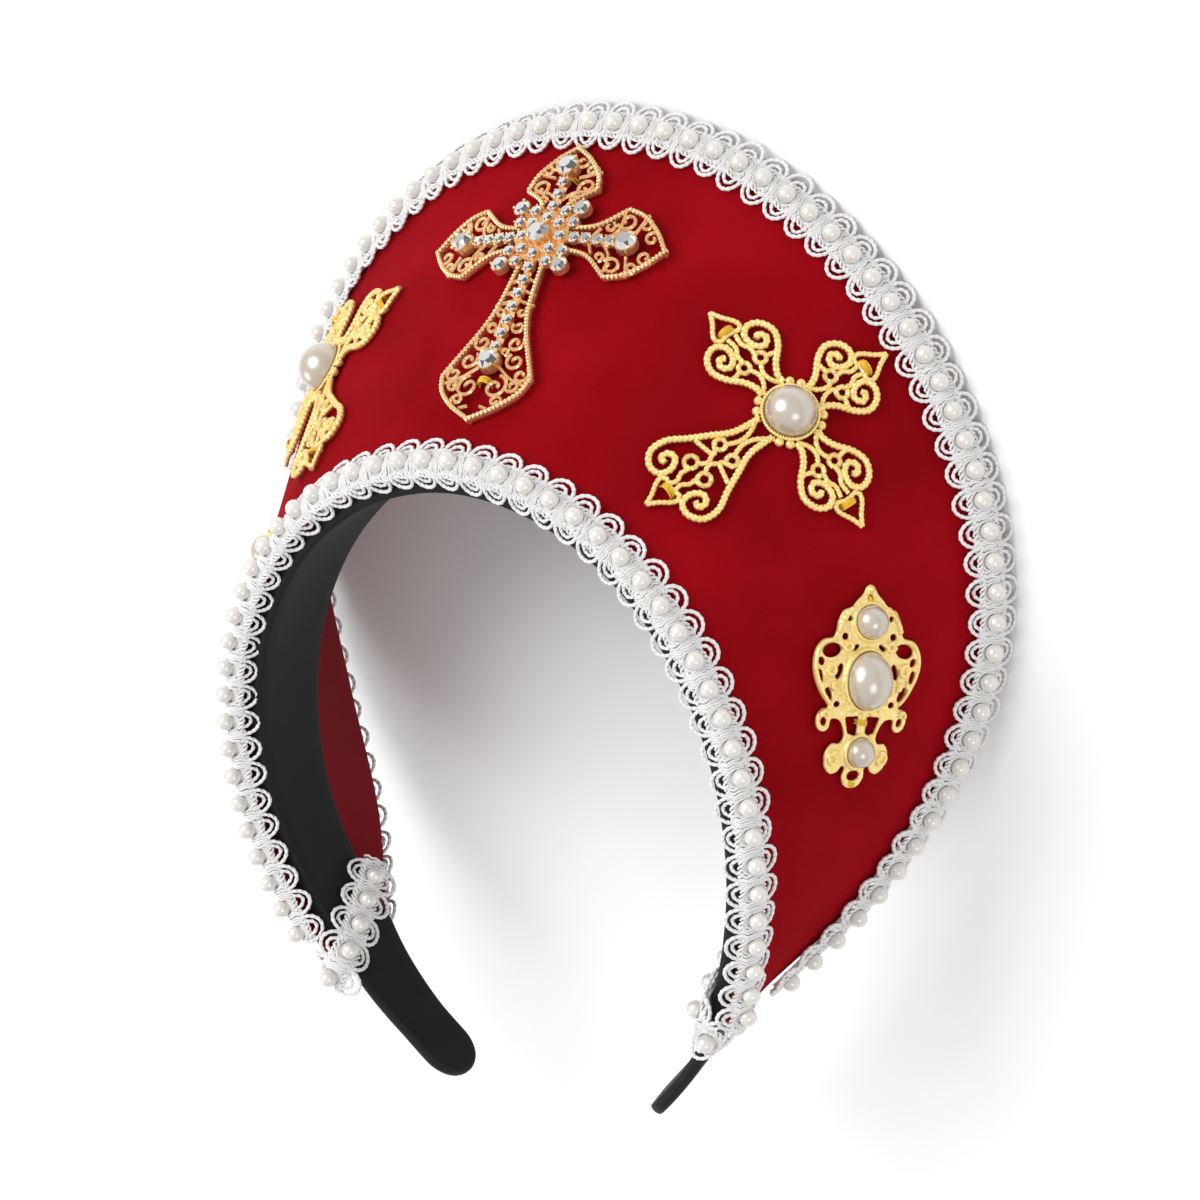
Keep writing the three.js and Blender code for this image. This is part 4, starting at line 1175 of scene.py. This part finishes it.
# %% The centre cross: rim, wall and scrolls
CENTRE_PIN = (-0.008, 0.65, math.radians(3.5))
CROSS_HEAD = 11.5
CROSS_NECK = 3.2
CROSS_HUB = 6.0
CROSS_TOP = 2.5
CROSS_ARMS = [
    # length, half width, stone at, from the right arm round to the long one
    (30.0, 9.3, 20.5),
    (25.0, 9.3, 18.5),
    (30.0, 9.3, 20.5),
    (48.0, 11.8, 33.0),
]
LONG = 3
HEAD_SCROLLS = [
    # along from the corner, beside as a share of the half width, radius, start, turn
    (0.2, 0.64, 2.3, -2.6, 7.0),
    (4.6, 0.6, 1.7, 2.2, -7.0),
    (7.0, 0.26, 1.9, 0.4, 7.0),
    (-3.4, 0.42, 1.3, 1.2, -6.0),
]
LONG_SCROLLS = [
    # along, beside, radius, start, turn
    (19.6, 2.5, 1.3, 2.6, -6.5),
    (23.4, 3.3, 1.7, -2.0, 7.0),
    (27.6, 4.2, 2.1, 2.2, -7.5),
    (32.2, 5.9, 2.3, -2.4, 7.5),
    (35.6, 8.6, 2.0, 2.6, -7.5),
    (39.0, 3.4, 3.0, 3.0, -8.0),
    (38.4, 7.6, 1.6, -1.0, 7.0),
    (42.6, 4.9, 1.6, 1.0, 7.0),
    (30.0, 2.2, 1.1, 0.5, 6.0),
]
HEAD_STRUTS = [
    # (along from the corner, beside) of each wire's knots
    [(-7.0, 0.4), (-5.4, 3.4)],
    [(2.8, 3.0), (4.4, 8.2)],
    [(-3.4, 0.6), (-1.2, 3.4), (-1.0, 7.6)],
]
LONG_STRUTS = [
    # (along, beside)
    [(10.5, 0.4), (12.0, 3.6)],
    [(13.6, 0.4), (15.2, 4.2)],
    [(16.4, 0.4), (17.8, 4.9)],
    [(44.0, 1.6), (44.6, 3.6)],
    [(33.6, 2.2), (36.6, 6.2), (38.0, 10.2)],
]
MILGRAIN = 0.64
MILGRAIN_LAY = 1.9
TWIST_STEPS = 8
SCROLL_WIRE = 0.43
WALL_WIRE = 0.45
SPINE_WIRE = 0.95


def cross_edge(length, half):
    corner = length - CROSS_HEAD
    neck = CROSS_HUB + 1
    middle = ((neck + corner) / 2, CROSS_NECK + 0.22 * (half - CROSS_NECK))
    flank = [(neck, CROSS_NECK), middle, (corner, half)]
    head = [(corner, half), (corner + 0.35 * CROSS_HEAD, 0.86 * half),
            (corner + 0.7 * CROSS_HEAD, 0.5 * half), (length, 0)]
    return [(np.array(line) - (0.3, 0.45)) for line in (flank, head)]


def cross_arm(quarter):
    """Rim paths, wall paths and scroll paths of one arm"""
    length, half, stone_at = CROSS_ARMS[quarter]
    corner = length - CROSS_HEAD
    lines = cross_edge(length, half)
    rims = [through(line, CROSS_TOP - 0.25, 36) for line in lines]
    walls = [through(line, (CAST_LIFT + CROSS_TOP) / 2, 18) for line in lines]
    if quarter == LONG:
        rows, struts = LONG_SCROLLS, LONG_STRUTS
    else:
        rows = [(corner + at, share * half, *rest) for at, share, *rest in HEAD_SCROLLS]
        struts = [[(corner + at, beside) for at, beside in strut] for strut in HEAD_STRUTS]
    scrolls = [scroll(*row, CROSS_TOP - 0.45) for row in rows]
    scrolls += [through(line, CROSS_TOP - 0.6, 8) for line in struts]
    spine = [through([(CROSS_HUB, 0), (stone_at, 0)], CROSS_TOP - 0.5, 12)]
    rims, walls, scrolls = (
        [on_arm(quarter, path) for path in both(paths)] for paths in (rims, walls, scrolls))
    return rims, walls, scrolls, [on_arm(quarter, path) for path in spine]


arms = [cross_arm(quarter) for quarter in range(4)]
rims, walls, scrolls, spines = ([path for arm in arms for path in arm[k]] for k in range(4))
corner_bars = []
for quarter in range(4):
    angle = math.pi / 2 * (quarter + 0.5)
    corner_bars.append(through([
        (reach * math.cos(angle), reach * math.sin(angle)) for reach in (4.0, 10.6)], 1.8, 8))
cross_parts = [
    wires(rims, MILGRAIN, lay=MILGRAIN_LAY, lobes=0.17, step=MILGRAIN_LAY / TWIST_STEPS),
    wires(walls, WALL_WIRE, sides=8, flatten=2.0),
    wires(scrolls, SCROLL_WIRE),
    wires(spines + corner_bars, SPINE_WIRE),
]
wall_points = flat_points(cross_parts[1])
print("casting wall from", wall_points[:, 2].min().round(2), "to", wall_points[:, 2].max().round(2), "mm")

# %% [markdown]
# A rhinestone has a flat table and a slanted crown of facets, sixteen triangles here. Its
# girdle sits in a cup with four claws. One stone and one cup are modelled, then copied to a
# list of places with their sizes.

# %% The centre cross: stones and cups
CHIP_PITCH = 3.35
CHIP = 1.35
CORNER_STONE = 1.9
HEAD_STONE = 2.55
CENTRE_STONE = 2.6
HUB_RING = 4.75
FIRST_CHIP = 8.1
CORNER_REACH = 10.6
FLANK_REACH = 7.7
FLANK_LEAN = 0.27
STONE_SIDES = 8
CENTRE_BASE = 3.9
RING_BASE = 3.0
BAR_BASE = 2.6
HEAD_BASE = 3.1
CORNER_BASE = 2.9
FLANK_BASE = 2.8
HUB_RADIUS = 6.4
HUB_WALL = 1.8
HUB_MIDDLE = 1.7
TOP_STITCH = 16.4
FOOT_STITCH = 37.5


def stone_places():
    """(x, y, base height, radius, turn) of every stone"""
    places = [(0, 0, CENTRE_BASE, CENTRE_STONE, 0.2)]
    for k in range(8):
        angle = math.pi / 4 * k
        x, y = HUB_RING * math.cos(angle), HUB_RING * math.sin(angle)
        places.append((x, y, RING_BASE, CHIP, angle))
    for quarter, (length, half, stone_at) in enumerate(CROSS_ARMS):
        angle = math.pi / 2 * quarter
        c, s = math.cos(angle), math.sin(angle)
        last = stone_at - HEAD_STONE - CHIP
        steps = round((last - FIRST_CHIP) / CHIP_PITCH)
        for k in range(steps + 1):
            along = FIRST_CHIP + (last - FIRST_CHIP) * k / steps
            places.append((along * c, along * s, BAR_BASE, CHIP, angle))
        places.append((stone_at * c, stone_at * s, HEAD_BASE, HEAD_STONE, angle))
        diagonal = angle + math.pi / 4
        x, y = CORNER_REACH * math.cos(diagonal), CORNER_REACH * math.sin(diagonal)
        places.append((x, y, CORNER_BASE, CORNER_STONE, diagonal))
        for lean in (-FLANK_LEAN, FLANK_LEAN):
            x, y = FLANK_REACH * math.cos(diagonal + lean), FLANK_REACH * math.sin(diagonal + lean)
            places.append((x, y, FLANK_BASE, CHIP, diagonal))
    return places


def cut_stone():
    """A stone of radius 1 whose girdle lies at height 0.35"""
    bpy.ops.mesh.primitive_cone_add(vertices=STONE_SIDES, radius1=1, radius2=0.56, depth=0.42)
    made = bpy.context.object
    points = flat_points(made)
    top = points[:, 2] > 0
    half_step = math.pi / STONE_SIDES
    c, s = math.cos(half_step), math.sin(half_step)
    x, y = points[top, 0].copy(), points[top, 1].copy()
    points[top, 0], points[top, 1] = x * c - y * s, x * s + y * c
    points[:, 2] += 0.56
    made.data.vertices.foreach_set("co", points.ravel())
    bpy.ops.object.mode_set(mode="EDIT")
    bpy.ops.mesh.select_all(action="SELECT")
    bpy.ops.mesh.quads_convert_to_tris()
    bpy.ops.object.mode_set(mode="OBJECT")
    return made


def stone_cup():
    bpy.ops.mesh.primitive_cylinder_add(vertices=16, radius=1.05, depth=0.9, location=(0, 0, -0.12))
    parts = [bpy.context.object]
    for k in range(4):
        angle = math.pi / 2 * (k + 0.5)
        place = (0.98 * math.cos(angle), 0.98 * math.sin(angle), 0.5)
        bpy.ops.mesh.primitive_ico_sphere_add(subdivisions=1, radius=0.2, location=place)
        parts.append(bpy.context.object)
    return joined(parts)


def cross_stitches():
    """Floss inside the stone of the top arm and past the stone of the long arm"""
    top = stitch_paths(0, TOP_STITCH, 0, 1.7, CROSS_TOP + 0.3)
    foot = stitch_paths(0, -FOOT_STITCH, 0, 1.7, CROSS_TOP + 0.3)
    return wires(top + foot, CROSS_FLOSS, sides=4)


places = stone_places()
stones = copies(cut_stone(), places)
cups = copies(stone_cup(), places)
bpy.ops.mesh.primitive_cylinder_add(
    vertices=32, radius=HUB_RADIUS, depth=HUB_WALL, location=(0, 0, HUB_MIDDLE))
hub = bpy.context.object
pin_centre = pinned(*CENTRE_PIN)
casting = laid(joined(cross_parts + [cups, hub]), pin_centre)
finished(casting, "centre_cross_casting", ROSE_GOLD, "rose_gold", "centre_cross", angle=40)
finished(laid(stones, pin_centre), "centre_cross_stones", CRYSTAL, None, "centre_cross", angle=1)
finished(laid(cross_stitches(), pin_centre), "centre_cross_stitches", YELLOW_THREAD, None,
         "centre_cross", angle=80)
print("stones:", len(places))

# %% [markdown]
# The pearl crosses are stamped filigree that imitates twisted wire. Each arm has two strands
# that swing out into lobes and coil up inside them, two little rings, and a spade at the tip
# that is left open. The long arm is drawn from its own knots, since it widens much later.

# %% The pearl crosses
FLEUR_PIN = (0.325, 0.6, math.radians(-14.5))
FLEUR_ARMS = [28.0, 25.0, 28.0, 37.0]
FLEUR_PEARL = 5.5
FLEUR_HEIGHT = 1.35
STRAND = 0.84
FINE_STRAND = 0.62
STRAND_LAY = 2.2
SHORT_LENGTH = 28.0
SPADE_LENGTH = 6.9
RING_POINTS = 200
CUP_WIRE = 0.45
CUP_LAY = 1.4
KNOB_RING = 7.0
KNOB_LEAN = 0.17
FLEUR_STITCH_IN = 5.6
SHORT_STRAND = [
    (6.2, 2.9), (8.0, 2.7), (10.6, 4.0), (13.6, 6.8), (16.8, 8.1), (19.8, 6.9), (20.9, 4.4),
    (19.4, 2.4), (16.6, 2.6), (15.2, 4.4), (16.4, 5.9), (18.0, 5.0), (17.4, 3.9),
]
LONG_STRAND = [
    (6.4, 2.4), (12.4, 2.9), (16.7, 4.9), (21.2, 7.2), (25.1, 9.5), (29.0, 9.5), (31.2, 6.9),
    (30.7, 4.2), (28.2, 3.5), (26.0, 4.9), (26.4, 6.8), (28.3, 6.9), (28.2, 5.4),
]


def spade(length):
    """The open arrow tip, from its base bar"""
    base = length - SPADE_LENGTH
    sides = [(base, 2.2), (base + 0.9, 3.1), (base + 2.4, 2.7), (length - 2.4, 1.2), (length, 0)]
    bar = [(base, 2.4), (base + 0.6, 0)]
    return [through(sides, FLEUR_HEIGHT, 18), through(bar, FLEUR_HEIGHT, 8)]


def fleur_arm(quarter):
    """Thick strands and fine wires of one arm"""
    length = FLEUR_ARMS[quarter]
    if quarter == LONG:
        strand = through(LONG_STRAND, FLEUR_HEIGHT, 90)
        fine = [
            ring(16.5, 2.2, 1.25, FLEUR_HEIGHT), ring(23.8, 2.4, 1.45, FLEUR_HEIGHT),
            through([(15.6, 1.5), (12.5, 0.5), (9.5, 1.0), (6.2, 3.0)], FLEUR_HEIGHT, 16),
            through([(17.3, 3.0), (19.0, 1.2), (20.2, 5.9)], FLEUR_HEIGHT, 14),
            through([(19.2, 1.2), (21.0, 0.3), (22.8, 1.2)], FLEUR_HEIGHT, 8),
            through([(24.9, 1.4), (27.0, 1.5), (28.6, 0.6), (30.4, 1.0)], FLEUR_HEIGHT, 12),
        ]
    else:
        near = length / SHORT_LENGTH
        strand = through(np.array(SHORT_STRAND) * (near, 1), FLEUR_HEIGHT, 80)
        fine = [
            ring(13.4 * near, 2.1, 1.25, FLEUR_HEIGHT),
            through([(12.5 * near, 1.5), (10.4, 0.5), (8.2, 0.9), (6.0, 2.6)], FLEUR_HEIGHT, 16),
            through([(14.2 * near, 1.5), (16.4 * near, 1.6), (18.2 * near, 0.7), (20.6 * near, 1.0)],
                    FLEUR_HEIGHT, 12),
            through([(13.2 * near, 3.1), (12.6 * near, 5.6)], FLEUR_HEIGHT, 6),
        ]
    fine += spade(length)
    return [on_arm(quarter, p) for p in both([strand])], [on_arm(quarter, p) for p in both(fine)]


def pearl_cross():
    """The flat filigree of one cross"""
    arms = [fleur_arm(quarter) for quarter in range(4)]
    cup = [ring(0, 0, FLEUR_PEARL + 0.5, FLEUR_HEIGHT + 0.5, count=RING_POINTS)]
    collar = [ring(0, 0, FLEUR_PEARL + 0.1, FLEUR_HEIGHT - 0.1, count=RING_POINTS)]
    bpy.ops.mesh.primitive_ico_sphere_add(subdivisions=2, radius=1.15)
    knobs = []
    for quarter in range(4):
        for lean in (-KNOB_LEAN, KNOB_LEAN):
            angle = math.pi / 2 * quarter + math.pi / 4 + lean
            knobs.append((KNOB_RING * math.cos(angle), KNOB_RING * math.sin(angle), 1.3, 0.92, 0))
    knobs = copies(bpy.context.object, knobs)
    thick, fine = ([path for arm in arms for path in arm[k]] for k in (0, 1))
    twist = {"lay": STRAND_LAY, "step": STRAND_LAY / TWIST_STEPS}
    return joined([
        wires(thick, STRAND, sides=8, lobes=0.11, **twist),
        wires(fine + collar, FINE_STRAND, lobes=0.08, **twist),
        wires(cup, CUP_WIRE, lay=CUP_LAY),
        knobs,
    ])


def fleur_stitches():
    """Floss across each arm's spade"""
    paths = []
    for quarter, length in enumerate(FLEUR_ARMS):
        angle = math.pi / 2 * quarter
        along = length - FLEUR_STITCH_IN
        x, y = along * math.cos(angle), along * math.sin(angle)
        paths += stitch_paths(x, y, angle + math.pi / 2, 1.9, 2.5)
    return wires(paths, FLOSS, sides=4)


pin_fleur = pinned(*FLEUR_PIN)
for side_name, mirrored in (("left", False), ("right", True)):
    node = "pearl_cross_" + side_name
    cross = laid(pearl_cross(), pin_fleur, mirrored)
    finished(cross, "filigree_cross_" + side_name, FILIGREE, "gold", node, angle=50)
    pearl = laid(half_pearl(0, 0, FLEUR_PEARL), pin_fleur, mirrored)
    finished(pearl, "half_pearl_" + side_name, PEARL, "pearl", "cross_pearl_" + side_name, angle=80)
    floss = laid(fleur_stitches(), pin_fleur, mirrored)
    finished(floss, "cross_stitches_" + side_name, YELLOW_THREAD, None, node, angle=80)

# %% [markdown]
# The ear drops are cast in one piece: a pierced plate with scrolls in low relief, hooks at its
# sides, and three half pearls. Everything is drawn as flat outlines, holes and wires, and a
# remesh then melts them together, as metal flows together in a mould.

# %% The ear drops
DROP_PIN = (0.593, 0.505, math.radians(60))
DROP_EDGE = [
    (0, -23.2), (2.0, -22.6), (3.0, -20.7), (2.7, -18.9), (3.7, -18.3), (4.7, -19.6), (6.6, -20.0),
    (8.2, -18.4), (8.5, -15.6), (7.0, -13.5), (5.2, -13.5), (4.2, -11.8), (5.6, -8.7), (8.0, -8.3),
    (8.4, -10.2), (9.8, -11.0), (11.3, -10.0), (11.5, -7.7), (10.3, -6.1), (8.8, -5.7),
    (10.8, -3.2), (12.5, 0.2), (13.0, 3.4), (12.4, 6.5), (10.6, 8.5), (8.4, 8.9), (7.7, 10.4),
    (7.3, 12.4), (6.1, 14.5), (4.3, 15.2), (3.0, 16.6), (1.7, 17.9), (0.9, 19.4), (0, 19.9),
]
DROP_HOLES = [
    # across, up, half length, half width, turn
    (8.7, 6.2, 2.2, 1.5, -0.2),
    (11.1, 3.9, 0.95, 0.7, 1.2),
    (11.3, 0.6, 1.7, 0.62, 1.45),
    (6.8, 1.8, 1.8, 0.7, 1.9),
    (9.2, -2.9, 1.7, 0.75, 1.15),
    (6.9, -5.1, 0.75, 0.65, 0.0),
    (5.7, 9.1, 0.75, 0.75, 0.0),
    (3.2, 6.8, 1.1, 0.45, -0.6),
    (4.9, 13.0, 0.8, 0.5, 1.2),
    (9.8, -8.8, 0.95, 0.78, 1.3),
]
DROP_MIDDLE_HOLES = [(0, -20.4, 1.8, 1.15, 0.0), (0, 17.3, 0.7, 0.55, 0.0)]
DROP_WINDOW = [(1.1, -7.6), (4.5, -7.8), (3.5, -11.2), (1.1, -11.9)]
DROP_SCROLLS = [
    # across, up, radius, start, turn
    (9.1, 2.0, 1.5, 1.2, 6.5),
    (5.0, 7.3, 1.3, 0.0, -6.5),
    (10.6, -0.9, 0.8, 2.0, 5.0),
    (7.8, -1.4, 0.9, 2.0, -5.0),
    (6.4, -16.7, 1.7, 2.0, -7.5),
    (9.6, -7.2, 1.2, -0.5, 4.0),
]
DROP_PEARLS = [
    # name, up, radius, stretch
    ("ear_top_pearl", 12.2, 3.5, 1.0),
    ("ear_oval_pearl", 0.0, 5.0, 1.22),
    ("ear_foot_pearl", -15.1, 3.2, 1.0),
]
DROP_RIM = [(8.6, 8.3), (10.5, 7.9), (12.0, 6.0), (12.5, 3.3), (11.9, 0.4), (10.3, -2.9), (8.6, -5.0)]
DROP_BAR = [(0, -6.0), (0, -11.6)]
DROP_STITCHES = [
    # up, angle, reach, top
    (16.6, math.pi / 2, 1.0, 2.2),
    (-22.2, 0.0, 1.2, 2.2),
    (-8.8, 0.0, 1.1, 2.7),
]
RELIEF_WIRE = 0.46
DROP_CUP_WIRE = 0.5
BAR_WIRE = 0.7
FOOT_GRAINS = 9
HEAD_GRAINS = 6
DROP_VOXEL = 0.23


def hole_outline(x, y, half_length, half_width, turn):
    angle = np.linspace(0, 2 * math.pi, 17)[:-1]
    a, b = half_length * np.cos(angle), half_width * np.sin(angle)
    c, s = math.cos(turn), math.sin(turn)
    return np.column_stack([x + a * c - b * s, y + a * s + b * c])


def plate(outlines, bottom, top):
    """A flat plate from closed outlines: the first is its edge, the others are holes"""
    curve = bpy.data.curves.new("plate", "CURVE")
    curve.dimensions = "2D"
    curve.fill_mode = "BOTH"
    curve.extrude = (top - bottom) / 2
    for outline in outlines:
        spline = curve.splines.new("POLY")
        spline.points.add(len(outline) - 1)
        for point, (x, y) in zip(spline.points, outline):
            point.co = (x, y, 0, 1)
        spline.use_cyclic_u = True
    made = bpy.data.objects.new("plate", curve)
    bpy.context.collection.objects.link(made)
    made.location.z = (top + bottom) / 2
    select_only([made])
    bpy.ops.object.convert(target="MESH")
    return joined([bpy.context.object])


def drop_relief():
    """Raised scrolls, the rim of the lobes, pearl cups and rows of grains"""
    thin = [scroll(*row, 2.0) for row in DROP_SCROLLS] + [through(DROP_RIM, 1.75, 30)]
    mirrored = [(points * (-1, 1, 1), closed) for points, closed in thin]
    cups = [ring(0, up, radius + 0.35, 1.9, stretch, 40) for _, up, radius, stretch in DROP_PEARLS]
    bar = [through(DROP_BAR, 1.6, 8)]
    grains = []
    for k in range(FOOT_GRAINS):
        angle = -math.pi / 2 + (k - FOOT_GRAINS // 2) * 0.3
        grains.append((6.6 * math.cos(angle), 7.4 * math.sin(angle), 1.9, 0.5, 0))
    for side in (-1, 1):
        for share in np.linspace(0, 1, HEAD_GRAINS):
            grains.append((side * (7.2 - 3.0 * share ** 1.5), 10.4 + 4.4 * share, 1.8, 0.62, 0))
    grains.append((0, 18.9, 1.7, 0.7, 0))
    bpy.ops.mesh.primitive_ico_sphere_add(subdivisions=2, radius=1)
    grains = copies(bpy.context.object, grains)
    return [wires(thin + mirrored, RELIEF_WIRE), wires(cups, DROP_CUP_WIRE),
            wires(bar, BAR_WIRE), grains]


def ear_drop():
    """The flat casting without its pearls"""
    half = np.array(DROP_EDGE, float)
    edge = np.vstack([half, half[-2:0:-1] * (-1, 1)])
    outlines = [through(edge, 0, 260, closed=True)[0][:, :2]]
    for side in (-1, 1):
        outlines += [hole_outline(*row) * (side, 1) for row in DROP_HOLES]
        outlines.append(np.array(DROP_WINDOW) * (side, 1))
    outlines += [hole_outline(*row) for row in DROP_MIDDLE_HOLES]
    drop = joined([plate(outlines, CAST_LIFT + 0.1, FILIGREE_TOP - 0.3)] + drop_relief())
    modified(drop, "REMESH", mode="VOXEL", voxel_size=DROP_VOXEL)
    return modified(drop, "SMOOTH", factor=0.5, iterations=2)


pin_drop = pinned(*DROP_PIN)
for side_name, mirrored in (("left", False), ("right", True)):
    node = "ear_drop_" + side_name
    finished(laid(ear_drop(), pin_drop, mirrored), "cast_drop_" + side_name, GOLD, "gold", node, angle=80)
    for pearl_name, up, radius, stretch in DROP_PEARLS:
        pearl = laid(half_pearl(0, up, radius, stretch), pin_drop, mirrored)
        finished(pearl, f"{pearl_name}_bead_{side_name}", PEARL, "pearl",
                 f"{pearl_name}_{side_name}", angle=80)
    stitches = [path for row in DROP_STITCHES for path in stitch_paths(0, *row, 4)]
    floss = laid(wires(stitches, FLOSS, sides=4), pin_drop, mirrored)
    finished(floss, "drop_stitches_" + side_name, YELLOW_THREAD, None, node, angle=80)
